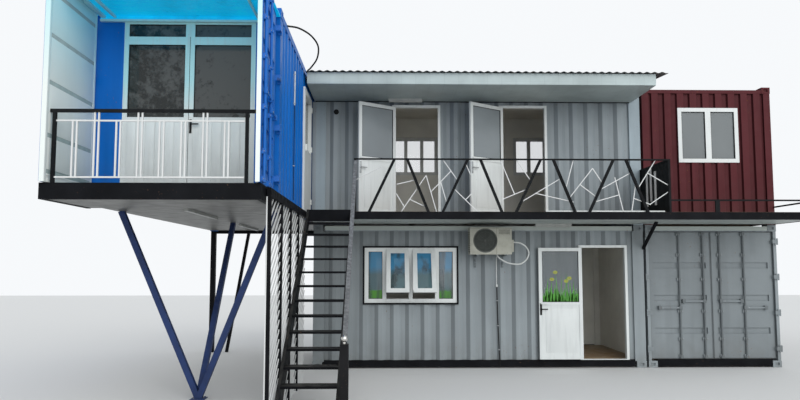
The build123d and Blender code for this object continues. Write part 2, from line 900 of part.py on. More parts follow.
def cargo_leaf(hand, trough_levels):
    """A container door about its pin at x = 0, y = 0; hand is 1 for a leaf that runs to +x."""
    def box(x1, x2, y1, y2, z1, z2, mode=Mode.ADD):
        low, high = sorted((hand * x1, hand * x2))
        with Locations((low, y1, z1)):
            Box(high - low, y2 - y1, z2 - z1, align=low_corner, mode=mode)

    x1 = cargo_edge
    x2 = x1 + cargo_wide
    y1 = cargo_face
    y2 = y1 + cargo_leaf_thick
    middle = unit_width / 2 - cargo_pin_in
    centre = hand * (x1 + x2) / 2
    blade_middle = hand * (x1 + 6 + cargo_blade_thick) / 2
    with BuildPart() as leaf:
        box(x1, x2, y1, y2, cargo_low, cargo_high)
        with Locations(*[(centre, y1, level) for level in trough_levels]):
            Box(cargo_wide - 2 * cargo_stile, 2 * panel_rib_deep, trough_tall, mode=Mode.SUBTRACT)
        with Locations(*[(blade_middle, 0, level) for level in cargo_hinge_levels]):
            Box(x1 + 6 + cargo_blade_thick, cargo_blade_thick, cargo_blade_tall, align=foot_align)
        with Locations(*[(hand * (x1 + 6 + cargo_blade_thick / 2), y1 / 2, z) for z in cargo_hinge_levels]):
            Box(cargo_blade_thick, y1, cargo_blade_tall, align=foot_align)
        with Locations(*[(0, 0, level) for level in cargo_hinge_levels]):
            add(cargo_knuckle)
        for offset in lock_rod_offsets:
            x = middle - offset
            y = y1 - lock_rod_ahead
            with Locations((hand * x, y, cargo_low + 8)):
                add(lock_rod)
            with Locations(*[(hand * x, (y + y1) / 2, level) for level in rod_guide_levels]):
                Box(rod_guide_wide, y1 - y, rod_guide_tall, align=foot_align)
            low = cargo_handle_level + (0 if offset == lock_rod_offsets[0] else handle_drop)
            box(
                x - cargo_handle_long, x + handle_arm / 2, y - lock_rod_radius - 8,
                y - lock_rod_radius + 4, low, low + handle_arm,
            )
    return leaf.part


def hang_cargo(shape, x, y, opened):
    return Location(place(x, y - cargo_pin_ahead, 0), (0, 0, opened)) * shape


pin_left_x = right_unit_left + cargo_pin_in
pin_right_x = right_unit_right - cargo_pin_in
with BuildPart() as container_door_left:
    add(hang_cargo(cargo_leaf(1, grey_troughs), pin_left_x, 0, 0))
finish(container_door_left, "container_door_left")

with BuildPart() as container_door_right:
    add(hang_cargo(cargo_leaf(-1, grey_troughs), pin_right_x, 0, 0))
finish(container_door_right, "container_door_right")


def cargo_lugs(x, y, z, hand):
    """The post's lugs under and over each hinge blade."""
    reach = cargo_pin_ahead + casting_proud
    steps = (-lug_tall - knuckle_gap, cargo_blade_tall + knuckle_gap)
    lows = [level + step for level in cargo_hinge_levels for step in steps]
    with Locations(*[place(x, y - cargo_pin_ahead, z + low) for low in lows]):
        add(cargo_lug)
    with Locations(*[place(x + hand * lug_run / 2, y + casting_proud - reach / 2, z + low) for low in lows]):
        Box(lug_run, reach, lug_tall, align=foot_align)


with BuildPart() as hinge_lugs:
    cargo_lugs(pin_left_x, 0, 0, 1)
    cargo_lugs(pin_right_x, 0, 0, -1)
finish(hinge_lugs, "hinge_lugs")

# Blue leaves stand open at right angles, as the sides of the balcony
blue_pin_left = blue_left + cargo_pin_in
blue_pin_right = blue_right - cargo_pin_in
with BuildPart() as blue_container_doors:
    for hand, pin_x, opened in ((1, blue_pin_left, -90), (-1, blue_pin_right, right_leaf_opened)):
        pin = place(pin_x, blue_front - cargo_pin_ahead, storey)
        add(Location(pin, (0, 0, opened)) * cargo_leaf(hand, blue_troughs))
    cargo_lugs(blue_pin_left, blue_front, storey, 1)
    cargo_lugs(blue_pin_right, blue_front, storey, -1)
finish(blue_container_doors, "blue_container_doors")

# Glazed front of the balcony room
front_low = storey + bottom_rail_high
front_high = storey + top_rail_low
inner_left = blue_left + door_post_wide
inner_right = blue_right - door_post_wide
glazed_left = inner_left + blue_panel_wide
glazed_right = inner_right - blue_panel_right_wide
with BuildPart() as blue_front_panel:
    for x1, x2 in ((inner_left, glazed_left), (glazed_right, inner_right)):
        block(
            x1, x2, blue_front + glazed_back, blue_front + glazed_back + frame_deep, front_low, front_high
        )
finish(blue_front_panel, "blue_front_panel")

glazed_middle = (glazed_left + glazed_right) / 2
glazed_y = blue_front + glazed_back
transom_low = front_high - top_light_tall
panel_top = front_low + glazed_panel_tall
with BuildPart() as balcony_glazed_doors:
    block(glazed_left, glazed_right, glazed_y, glazed_y + frame_deep, front_low, front_high)
    for x1, x2 in ((glazed_left, glazed_middle), (glazed_middle, glazed_right)):
        a = x1 + glazed_stile
        b = x2 - glazed_stile
        block(
            a, b, glazed_y - 10, glazed_y + frame_deep + 10,
            panel_top, transom_low - glazed_rail, mode=Mode.SUBTRACT,
        )
        block(
            a, b, glazed_y - 10, glazed_y + frame_deep + 10,
            transom_low, front_high - glazed_rail, mode=Mode.SUBTRACT,
        )
finish(balcony_glazed_doors, "balcony_glazed_doors")

# Side door of the blue container, closed, with its hinges on the far side
side_glass_low = side_door_foot + side_glass_sill
side_glass_high = side_door_head - side_door_rail
side_glass_near = side_door_near + side_door_rail
side_glass_far = side_door_far - side_door_rail
side_face = blue_right + side_door_proud
with BuildPart() as side_door:
    block(
        blue_right - wall_thick, side_face, side_door_near, side_door_far,
        side_door_foot, side_door_head,
    )
    block(
        blue_right - 2 * wall_thick, side_face + 20, side_glass_near, side_glass_far,
        side_glass_low, side_glass_high, mode=Mode.SUBTRACT,
    )
    block(
        side_face - side_joint_deep, side_face + 20, side_door_near + jamb_wide, side_door_far - jamb_wide,
        side_glass_low - 40, side_glass_low - 40 + side_joint_deep, mode=Mode.SUBTRACT,
    )
    for level in side_hinge_levels:
        block(
            side_face, side_face + side_hinge_deep,
            side_door_far - jamb_wide - 30, side_door_far - jamb_wide,
            side_door_foot + level, side_door_foot + level + knuckle_tall,
        )
    block(
        side_face, side_face + handle_reach,
        side_door_near + jamb_wide + 40, side_door_near + jamb_wide + 60,
        side_door_foot + handle_level, side_door_foot + handle_level + handle_long,
    )
finish(side_door, "side_door")

# Glass that stays with the building
with BuildPart() as glass_panes:
    y = front_frame_y + frame_deep / 2
    outer = (
        (hole_left + frame_bar, hole_left + lower_mullions[0] - frame_bar / 2),
        (hole_left + lower_mullions[2] + frame_bar / 2, hole_right - frame_bar),
    )
    for x1, x2 in outer:
        pane(x1, x2, y, hole_bottom + frame_bar, hole_top - frame_bar)
    for left in sash_lefts:
        x = left + sash_wide / 2
        width = sash_wide - frame_bar - 2 * sash_bar
        bar(
            (x, *sash_point(sash_bar, 0)), (x, *sash_point(sash_high - sash_bar, 0)),
            glass_thick, width, across=(1, 0, 0),
        )
    red_pane_wide = (red_window_width - red_mullion_wide) / 2 - frame_bar
    for x1 in (red_hole_left + frame_bar, red_hole_right - frame_bar - red_pane_wide):
        pane(x1, x1 + red_pane_wide, y, red_hole_bottom + frame_bar, red_hole_top - frame_bar)
    rear_pane_y = rear_frame_y + frame_deep / 2
    for left, sill, wide, lights in rear_windows:
        for i in range(lights):
            x1 = left + max(wide * i / lights + frame_bar / 2, frame_bar)
            x2 = left + min(wide * (i + 1) / lights - frame_bar / 2, wide - frame_bar)
            pane(x1, x2, rear_pane_y, sill + frame_bar, sill + rear_window_height - frame_bar)
    for left in upper_door_lefts:
        add(hang(glass_of_leaf, left, upper_door_foot, upper_door_opened))
    for x1, x2 in ((glazed_left, glazed_middle), (glazed_middle, glazed_right)):
        a = x1 + glazed_stile
        b = x2 - glazed_stile
        pane(a, b, glazed_y + frame_deep / 2, panel_top, transom_low - glazed_rail)
        pane(a, b, glazed_y + frame_deep / 2, transom_low, front_high - glazed_rail)
    side_pane_x = blue_right - wall_thick / 2
    block(
        side_pane_x, side_pane_x + glass_thick, side_glass_near, side_glass_far,
        side_glass_low, side_glass_high,
    )
finish(glass_panes, "glass_panes")

# Deck
deck_right = right_unit_right
beam_back = -deck_reach + deck_beam_thick
with BuildPart() as deck_frame:
    block(
        stair_right + 10, deck_right, -deck_reach, beam_back, deck_top - deck_beam_tall, deck_top
    )
    block(
        deck_right - deck_beam_thick, deck_right, beam_back, 0, deck_top - deck_beam_tall, deck_top
    )
    block(
        screen_bar / 2, stair_right + 10, -deck_reach, beam_back,
        deck_top + 30 - landing_beam_tall, deck_top + 30,
    )
    block(0, deck_beam_thick, beam_back, 0, deck_top - deck_beam_tall, deck_top)
finish(deck_frame, "deck_frame")

with BuildPart() as deck_boards:
    block(deck_beam_thick, deck_right - deck_beam_thick, beam_back, 0, deck_top - deck_plate_thick, deck_top)
finish(deck_boards, "deck_boards")

with BuildPart() as deck_soffit:
    block(
        deck_beam_thick, deck_right - deck_beam_thick, beam_back, 0,
        deck_soffit_low, deck_soffit_low + deck_soffit_thick,
    )
finish(deck_soffit, "deck_soffit")

bracket_x = unit_length - 10
with BuildPart() as wall_brackets:
    bar(
        (bracket_x, 0, deck_soffit_low - bracket_drop), (bracket_x, -bracket_reach, deck_soffit_low),
        bracket_bar, bracket_bar, across=(1, 0, 0),
    )
    block(
        bracket_x - 60, bracket_x + 60, -bracket_reach - 100, 20,
        deck_soffit_low, deck_soffit_low + 200, mode=Mode.SUBTRACT,
    )
    block(
        bracket_x - 60, bracket_x + 60, 0, 200,
        0, deck_soffit_low, mode=Mode.SUBTRACT,
    )
    for x in (ac_left + 120, ac_left + 620):
        block(x, x + 30, ac_front, wall_inset, ac_low - 30, ac_low)
        block(x, x + 30, -20, wall_inset, ac_low - 230, ac_low - 30)
finish(wall_brackets, "wall_brackets")

# Deck railing: the long front, and the closed end beside the red container
rail_front = -deck_reach
rail_back = rail_front + rail_bar
rail_top = deck_top + rail_height
rail_left = stair_right + 10
rail_right = end_rail_middle + rail_bar / 2
rail_plane = Plane(origin=place(0, rail_back, 0), x_dir=(1, 0, 0), z_dir=(0, -1, 0))
under_rail = rail_top - rail_top_tall


def stroke(x1, z1, x2, z2, wide):
    """A straight bar in a sketch, between two points of its middle line."""
    turn = math.degrees(math.atan2(z2 - z1, x2 - x1))
    with BuildSketch() as one:
        with Locations(Location(((x1 + x2) / 2, (z1 + z2) / 2, 0), (0, 0, turn))):
            Rectangle(math.hypot(x2 - x1, z2 - z1), wide)
    return one.sketch


def upright_rectangle(x1, x2, z1, z2):
    with BuildSketch() as one:
        with Locations(((x1 + x2) / 2, (z1 + z2) / 2)):
            Rectangle(x2 - x1, z2 - z1)
    return one.sketch


zigzag = []
for i in range(4):
    foot = zigzag_first + i * zigzag_pitch
    crown = foot + zigzag_rise_run
    zigzag.append(stroke(foot, deck_top - 20, crown, rail_top, zigzag_bar))
    crown += zigzag_top_gap
    zigzag.append(stroke(crown, rail_top, crown + zigzag_fall_run, deck_top - 20, zigzag_bar))
with BuildPart() as deck_railing:
    with BuildSketch(rail_plane):
        add(zigzag)
        add(upright_rectangle(rail_left, rail_right, deck_top, under_rail), mode=Mode.INTERSECT)
        add(upright_rectangle(rail_left, rail_left + rail_bar, deck_top, under_rail))
        add(upright_rectangle(rail_right - rail_bar, rail_right, deck_top, under_rail))
        add(upright_rectangle(rail_left, rail_right, under_rail, rail_top))
    extrude(amount=rail_bar)
    end_left = end_rail_middle - rail_bar / 2
    block(end_left, rail_right, rail_back + 2, 0, under_rail, rail_top)
    block(end_left, rail_right, -rail_bar, 0, deck_top, under_rail)
    block(end_left, rail_right, rail_back + 2, rail_back + 2 + rail_bar, deck_top, under_rail)
    block(
        end_rail_middle - end_panel_thick / 2, end_rail_middle + end_panel_thick / 2,
        rail_back + 2 + rail_bar, -rail_bar, deck_top, under_rail,
    )
finish(deck_railing, "deck_railing")

with BuildPart() as low_rail:
    y1 = -deck_reach
    y2 = y1 + low_rail_bar
    z1 = deck_top + low_rail_height - low_rail_bar
    z2 = deck_top + low_rail_height
    block(rail_right, deck_right, y1, y2, z1, z2)
    block(deck_right - low_rail_bar, deck_right, y2, 0, z1, z2)
    block(right_unit_left + 700, right_unit_left + 700 + low_post_wide, y1, y2, deck_top, z1)
    block(deck_right - low_rail_bar, deck_right, y1, y2, deck_top, z1)
finish(low_rail, "low_rail")

# Stair
run = stair_going
with BuildPart() as stair_treads:
    for i in range(1, stair_risers):
        z = i * riser
        front = -deck_reach - (stair_risers - i) * run
        block(
            stair_left + stringer_thick, stair_right - stringer_thick,
            front, front + tread_deep, z - tread_thick, z,
        )
finish(stair_treads, "stair_treads")

total_run = (stair_risers - 1) * run
top_y = -deck_reach
foot_y = top_y - total_run
slope = riser / run
drop = stringer_deep * math.sqrt(1 + slope * slope) / 2
side_points = [
    (foot_y - 10, 0),
    (foot_y - 10, 2 * drop - riser * 0.35),
    (top_y, deck_top + drop - riser * 0.5),
    (top_y, deck_top - drop - riser * 0.5),
    (foot_y - 10 + 2 * drop / slope, 0),
]
with BuildPart() as stair_stringers:
    for x in (stair_left, stair_right - stringer_thick):
        with BuildSketch(Plane(origin=place(x, 0, 0), x_dir=(0, 1, 0), z_dir=(1, 0, 0))):
            with BuildLine():
                Polyline(*side_points, close=True)
            make_face()
        extrude(amount=stringer_thick)
finish(stair_stringers, "stair_stringers")

newel_x = stair_right + 10 + newel_bar / 2
newel_y = foot_y + 40
handrail_low = (newel_x, newel_y, newel_height - 60)
handrail_high = (rail_left + handrail_bar / 2, rail_front, rail_top - 60)
with BuildPart() as stair_railing:
    bar(handrail_low, handrail_high, handrail_bar, handrail_bar, across=(1, 0, 0))
    block(0, 2000, rail_front, 0, 0, 2 * storey, mode=Mode.SUBTRACT)
    block(
        newel_x - newel_bar / 2, newel_x + newel_bar / 2,
        newel_y - newel_bar / 2, newel_y + newel_bar / 2, 0, newel_height,
    )
finish(stair_railing, "stair_railing")

ball_levels = [(0.0, newel_neck_radius), (newel_neck_tall, newel_neck_radius)]
for degrees in (-50, -15, 15, 50, 75):
    angle = math.radians(degrees)
    level = newel_neck_tall + newel_ball_radius * (math.sin(angle) - math.sin(math.radians(-60)))
    ball_levels.append((level, newel_ball_radius * math.cos(angle)))
with BuildPart() as newel_ball:
    for level, radius in ball_levels:
        with BuildSketch(Plane(origin=place(newel_x, newel_y, newel_height + level))):
            RegularPolygon(radius, 12)
    loft(ruled=True)
finish(newel_ball, "newel_ball")

# Screen on the left of the stair
screen_x = 0.0
screen_top = deck_top - 6
screen_front = -screen_reach
screen_posts = (screen_front,) + tuple(-depth for depth in screen_post_depths)
screen_beam_low = screen_top - 100
with BuildPart() as stair_screen:
    block(
        screen_x - screen_bar / 2, screen_x + screen_bar / 2,
        screen_front, -deck_reach + screen_lap, screen_beam_low, screen_top,
    )
    for y in screen_posts:
        block(
            screen_x - screen_bar / 2, screen_x + screen_bar / 2, y, y + screen_bar, 0, screen_beam_low
        )
finish(stair_screen, "stair_screen")

# White bars: an irregular pattern in the deck railing, slats in the stair's sides
crack_lines = (
    (1504, 456, 1814, 529), (1493, 302, 1630, 76), (1572, -5, 1989, 604), (1704, 213, 1994, 74),
    (1989, 604, 2161, -5), (2065, 328, 2404, 681), (829, 531, 1245, 742), (2273, 863, 2514, 521),
    (2229, 502, 2331, 136), (2447, 388, 2842, -1), (2638, 197, 2749, 308), (2647, 809, 2726, 620),
    (3227, 863, 3457, 291), (3166, 174, 3660, 376), (3498, 863, 3728, 519), (3552, 156, 4225, 557),
    (3806, 309, 4439, 166), (4444, 863, 4305, 366), (4361, 224, 4767, 732), (4547, 460, 4817, 253),
    (4769, 726, 4926, 483), (4866, 363, 5407, 659), (5134, 581, 5266, 0), (4770, 163, 5203, 287),
    (5485, 485, 5404, 0), (5440, 230, 5725, 125), (5512, 385, 5820, 863), (5684, 654, 6024, 454),
    (5710, 129, 6024, 337),
)
cracks = []
for x1, z1, x2, z2 in crack_lines:
    cracks.append(stroke(x1, deck_top + z1, x2, deck_top + z2, crack_bar))

slat_bays = list(zip(screen_posts, screen_posts[1:] + (-deck_reach,)))


def slat(y1, z1, y2, z2, tall):
    """A slanted bar with upright ends, in a sketch."""
    with BuildSketch() as one:
        with BuildLine():
            Polyline((y1, z1), (y2, z2), (y2, z2 + tall), (y1, z1 + tall), close=True)
        make_face()
    return one.sketch


slats = []
for near, far in slat_bays:
    y1 = near + screen_bar
    rise = (far - y1) * slat_slope
    for i in range(int((screen_beam_low - rise - slat_tall) // slat_pitch)):
        level = slat_pitch / 2 + i * slat_pitch
        slats.append(slat(y1, level, far, level + rise, slat_tall))

with BuildPart() as railing_white_bars:
    with BuildSketch(Plane(origin=place(0, rail_back + crack_bar, 0), x_dir=(1, 0, 0), z_dir=(0, -1, 0))):
        add(cracks)
        add(
            upright_rectangle(rail_left + rail_bar, end_left, deck_top, rail_top), mode=Mode.INTERSECT
        )
    extrude(amount=crack_bar)
    with BuildSketch(
        Plane(origin=place(screen_x - slat_thick / 2, 0, 0), x_dir=(0, 1, 0), z_dir=(1, 0, 0))
    ):
        add(slats)
    extrude(amount=slat_thick)
    bar_left = end_rail_middle - end_panel_thick / 2 - crack_bar
    for depth, low in zip(end_bar_depths, end_bar_lows):
        block(
            bar_left, bar_left + crack_bar, -depth - 2 * crack_bar, -depth,
            deck_top + low, deck_top + low + end_bar_tall,
        )
finish(railing_white_bars, "railing_white_bars")

# Balcony in front of the blue container
balcony_front = blue_front - leaf_reach
balcony_deck = storey + bottom_rail_high
balcony_low = balcony_deck - balcony_beam_tall
balcony_left = blue_left + 24
balcony_inner_left = balcony_left + balcony_beam_thick
balcony_inner_right = blue_right - balcony_beam_thick
balcony_inner_front = balcony_front + balcony_beam_thick
with BuildPart() as balcony_floor:
    block(balcony_left, blue_right, balcony_front, blue_front, balcony_low, balcony_deck)
    block(
        balcony_inner_left, balcony_inner_right, balcony_inner_front, blue_front,
        balcony_low, balcony_deck - deck_plate_thick, mode=Mode.SUBTRACT,
    )
finish(balcony_floor, "balcony_floor")

with BuildPart() as balcony_railing:
    top = balcony_deck + balcony_rail_height
    y1 = balcony_front + 10
    y2 = y1 + rail_bar
    a = blue_left + 140
    b = blue_right - 150
    block(blue_left + 112, blue_right - 112 + right_leaf_swing, y1, y2, top - rail_bar, top)
    for x in (a, b - rail_bar):
        block(x, x + rail_bar, y1, y2, balcony_deck, top - rail_bar)
finish(balcony_railing, "balcony_railing")

bars_middle = (a + b) / 2
bars_back = (y1 + y2 + balcony_bar) / 2
white_frame = []
for low in (balcony_frame_low, balcony_frame_high - balcony_bar):
    white_frame.append(
        upright_rectangle(a + rail_bar, b - rail_bar, balcony_deck + low, balcony_deck + low + balcony_bar)
    )
for i in range(8):
    pair = bars_middle + (i - 3.5) * balcony_bar_pitch
    high = balcony_rail_height - rail_bar if i in (1, 3, 6) else balcony_frame_high
    for x in (pair - balcony_pair_gap / 2, pair + balcony_pair_gap / 2):
        white_frame.append(upright_rectangle(
            x - balcony_bar / 2, x + balcony_bar / 2, balcony_deck + balcony_frame_low, balcony_deck + high
        ))
with BuildPart() as balcony_bars:
    with BuildSketch(Plane(origin=place(0, bars_back, 0), x_dir=(1, 0, 0), z_dir=(0, -1, 0))):
        add(white_frame)
    extrude(amount=balcony_bar)
finish(balcony_bars, "balcony_bars")

with BuildPart() as balcony_roof:
    block(
        blue_left + cargo_pin_in + cargo_face, blue_right - cargo_pin_in - cargo_face + right_leaf_swing,
        balcony_front, blue_front - cargo_leaf_gap,
        storey + cargo_high, storey + cargo_high + balcony_roof_thick,
    )
finish(balcony_roof, "balcony_roof")

# Supports
underside_high = storey + bottom_rail_low
underside_low = underside_high - underside_thick
with BuildPart() as blue_underside:
    block(
        blue_left + rail_inset, blue_right - rail_inset, blue_front + rail_inset, blue_back - rail_inset,
        underside_low, underside_high,
    )
    block(
        balcony_inner_left, balcony_inner_right, balcony_inner_front, blue_front,
        balcony_low + rail_inset, balcony_low + rail_inset + underside_thick,
    )
    for x1 in (blue_left, blue_right - casting_wide):
        for y1 in (blue_front, blue_back - casting_long):
            block(
                x1, x1 + casting_wide, y1, y1 + casting_long, storey, storey + casting_tall,
                mode=Mode.SUBTRACT,
            )
finish(blue_underside, "blue_underside")

strut_foot = (blue_left + unit_width / 2, -2700, 0)
with BuildPart() as support_struts:
    tops = (
        (blue_left + 60, -2650), (blue_right - 220, -2650), (blue_left + unit_width / 2 - 150, -220),
    )
    for x, y in tops:
        across = (0, 1, 0) if y < -2000 else (1, 0, 0)
        bar(strut_foot, (x, y, underside_low), strut_bar, strut_bar, across=across)
    block(-9000, 3000, -9000, 3000, -500, 0, mode=Mode.SUBTRACT)
    block(-9000, 3000, -9000, 3000, underside_low, storey + 500, mode=Mode.SUBTRACT)
finish(support_struts, "support_struts")

# Packing plates that tie neighbouring containers together
with BuildPart() as packing_plates:
    for z in (0, storey):
        for y in (20, unit_width - casting_wide + 20):
            block(
                unit_length, right_unit_left + (0 if y < unit_width / 2 else rail_inset),
                y, y + plate_wide, z + plate_low, z + plate_high,
            )
    for x, y in ((blue_right - rail_inset, 20), (blue_right, unit_width - casting_wide + 20)):
        block(x, 0, y, y + plate_wide, storey + plate_low, storey + plate_high)
finish(packing_plates, "packing_plates")

with BuildPart() as rear_supports:
    for x in (blue_left, blue_right - rear_column):
        block(x, x + rear_column, blue_back - rear_column, blue_back, 0, storey)
    strut_y = blue_back - rear_column / 2
    bar(
        (rear_strut_foot, strut_y, 0), (rear_strut_top, strut_y, underside_low),
        rear_strut_bar, rear_strut_bar,
    )
    block(-9000, 3000, -9000, 3000, -500, 0, mode=Mode.SUBTRACT)
    block(rear_strut_top - 500, rear_strut_top + 500, 0, 3000, underside_low, 2 * storey, mode=Mode.SUBTRACT)
finish(rear_supports, "rear_supports")

# Roof over the deck
awning_right = 5889.0
with BuildPart() as awning_fascia:
    block(0, awning_right, -awning_front, -awning_front + fascia_thick, awning_low, awning_low + fascia_tall)
    block(
        0, awning_right, -awning_front + fascia_thick, 0,
        awning_low - soffit_drop, awning_low - soffit_drop + soffit_thick,
    )
    block(
        awning_right - fascia_thick, awning_right, -awning_front + fascia_thick, 0,
        awning_low - soffit_drop + soffit_thick, awning_low + fascia_tall,
    )
finish(awning_fascia, "awning_fascia")

sheet_left = -20.0
sheet_right = unit_length + 20.0
sheet_front = -awning_front - sheet_overhang
sheet_back = 250.0
sheet_low = awning_low + fascia_tall


def sheet_height(y):
    """The underside of the sloping sheet above a line at depth y."""
    return sheet_low + (y + awning_front) * sheet_slope


wave_count = int((sheet_right - sheet_left) // wave_pitch)
wave_margin = (sheet_right - sheet_left - wave_count * wave_pitch) / 2
lower_edge = [(0, 0)]
upper_edge = [(0, sheet_thick)]
for i in range(wave_count):
    start = wave_margin + i * wave_pitch
    crest = ((0, 0), (0.5, wave_tall))
    for share, rise in crest:
        lower_edge.append((start + share * wave_pitch, rise))
        upper_edge.append((start + share * wave_pitch, rise + sheet_thick))
lower_edge.append((sheet_right - sheet_left, 0))
upper_edge.append((sheet_right - sheet_left, sheet_thick))
slope_angle = math.atan(sheet_slope)
sheet_plane = Plane(
    origin=place(sheet_left, sheet_front, sheet_height(sheet_front)),
    x_dir=(1, 0, 0), z_dir=(0, -math.cos(slope_angle), -math.sin(slope_angle)),
)
with BuildPart() as awning_sheet:
    with BuildSketch(sheet_plane):
        with BuildLine():
            Polyline(*(lower_edge + upper_edge[::-1]), close=True)
        make_face()
    extrude(amount=-(sheet_back - sheet_front) / math.cos(slope_angle))
finish(awning_sheet, "awning_sheet")

purlin_places = (
    (rail_inset, storey + top_rail_high),
    (sheet_back - purlin_wide, storey + top_rail_high - roof_thick),
)
with BuildPart() as awning_purlins:
    for y, low in purlin_places:
        block(
            casting_long + 30, unit_length - casting_long - 30, y, y + purlin_wide,
            low, sheet_height(y) - seat_gap,
        )
finish(awning_purlins, "awning_purlins")

# Air conditioner with a wire grille over its fan
fan_plane = Plane(
    origin=place(fan_middle_x, ac_front, fan_middle_z), x_dir=(1, 0, 0), z_dir=(0, -1, 0)
)
with BuildPart() as ac_unit:
    block(ac_left, ac_left + ac_wide, ac_front, ac_back, ac_low, ac_high)
    block(
        ac_left + ac_wide, ac_left + ac_wide + ac_cover_wide, ac_front + 60, ac_back - 60,
        ac_cover_low, ac_cover_high,
    )
    with BuildSketch(fan_plane):
        RegularPolygon(fan_radius, 24)
    extrude(amount=-fan_deep, mode=Mode.SUBTRACT)
    with BuildSketch(fan_plane):
        for radius in fan_ring_radii:
            RegularPolygon(radius + fan_wire / 2, 24)
            RegularPolygon(radius - fan_wire / 2, 24, mode=Mode.SUBTRACT)
        for i in range(4):
            with Locations(Location((0, 0, 0), (0, 0, 45 * i))):
                Rectangle(2 * fan_radius, fan_wire)
    extrude(amount=-fan_wire)
finish(ac_unit, "ac_unit")

with BuildPart() as tube_lights:
    block(4050, 4710, -40 - lamp_wide, -40, deck_soffit_low - lamp_tall, deck_soffit_low)
    block(
        1365, 1985, -170 - lamp_wide, -170,
        awning_low - soffit_drop - lamp_tall, awning_low - soffit_drop,
    )
    for near, far in ((-3210, -1640), (70, 1640)):
        block(
            -1370, -1370 + lamp_wide, near, far, underside_low - lamp_tall, underside_low
        )
finish(tube_lights, "tube_lights")

with BuildPart() as wall_vent:
    with BuildSketch(
        Plane(origin=place(vent_x, wall_inset, vent_z), x_dir=(1, 0, 0), z_dir=(0, -1, 0))
    ):
        RegularPolygon(vent_radius, 16)
    extrude(amount=vent_thick)
finish(wall_vent, "wall_vent")
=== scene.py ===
"""Looks of a two storey container cabin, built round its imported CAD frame."""

import math
import random

import bmesh
import bpy
from mathutils import Euler, Matrix, Vector


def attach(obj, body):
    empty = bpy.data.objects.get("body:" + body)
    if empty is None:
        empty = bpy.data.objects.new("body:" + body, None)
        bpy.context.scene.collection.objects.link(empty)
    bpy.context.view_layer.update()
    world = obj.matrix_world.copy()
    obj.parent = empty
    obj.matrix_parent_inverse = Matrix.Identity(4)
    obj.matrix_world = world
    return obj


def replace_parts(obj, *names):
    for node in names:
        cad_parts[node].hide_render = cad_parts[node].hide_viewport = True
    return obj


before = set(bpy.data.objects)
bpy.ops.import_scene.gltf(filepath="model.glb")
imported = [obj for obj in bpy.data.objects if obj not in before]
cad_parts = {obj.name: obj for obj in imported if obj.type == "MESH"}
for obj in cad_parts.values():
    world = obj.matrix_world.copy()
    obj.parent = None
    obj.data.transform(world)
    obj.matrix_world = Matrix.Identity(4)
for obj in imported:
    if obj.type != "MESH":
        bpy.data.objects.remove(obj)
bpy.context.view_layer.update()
random.seed(7)

# Building coordinates, as in the part's source, start at the long container's front left foot
ORIGIN = Vector((3.029, 0.619, 0.0))
STOREY = 2.591
UNIT_LONG = 6.058
UNIT_WIDE = 2.438
UNIT_GAP = 0.036
FLOOR_RISE = 0.145
RIGHT_LEFT = UNIT_LONG + UNIT_GAP
RIGHT_RIGHT = RIGHT_LEFT + UNIT_WIDE
BLUE_RIGHT = -UNIT_GAP
BLUE_LEFT = BLUE_RIGHT - UNIT_WIDE
BLUE_FRONT = -3.650
BLUE_BACK = 2.408
DECK_FRONT = -1.245
DECK_TOP = 2.726
FORWARD = (0, -1, 0)


def place(x, y, z):
    """A point of the building in the frame's coordinates, in metres."""
    return Vector((x, y, z)) - ORIGIN


def measure(axis, value):
    """A building measure along one axis, in the frame's coordinates."""
    return place(value, value, value)[axis]


# Camera: the photograph's viewing point, fitted to the containers' standard size
CAMERA_AT = place(1.351, -12.001, 1.818)
CAMERA_PITCH = math.radians(4.496)
CAMERA_YAW = math.radians(-1.089)
CAMERA_LENS = 29.574
CAMERA_SENSOR = 36
CAMERA_SHIFT_Y = 0.0191
CAMERA_REACH = 300


def make_camera():
    data = bpy.data.cameras.new("camera")
    camera = bpy.data.objects.new("camera", data)
    bpy.context.scene.collection.objects.link(camera)
    camera.location = CAMERA_AT
    camera.rotation_euler = Euler((math.pi / 2 + CAMERA_PITCH, 0, CAMERA_YAW), "XYZ")
    data.lens = CAMERA_LENS
    data.sensor_width = CAMERA_SENSOR
    data.shift_y = CAMERA_SHIFT_Y
    data.clip_end = CAMERA_REACH
    bpy.context.scene.camera = camera


# Light: an overcast sky and one broad soft lamp, low from the front right
SKY_COLOUR = (0.93, 0.965, 1.0, 1)
SKY_STRENGTH = 0.80
BACKDROP_WHITE = (0.93, 0.95, 0.97, 1)
SUN_STRENGTH = 1.65
SUN_ANGLE = math.radians(60)
SUN_TURN = (math.radians(66), 0, math.radians(21))


def make_node(tree, kind, inputs=()):
    """A new node, each input set to a constant or linked to another node's output."""
    node = tree.nodes.new("ShaderNode" + kind)
    for name, value in dict(inputs).items():
        if isinstance(value, bpy.types.NodeSocket):
            tree.links.new(value, node.inputs[name])
        else:
            node.inputs[name].default_value = value
    return node


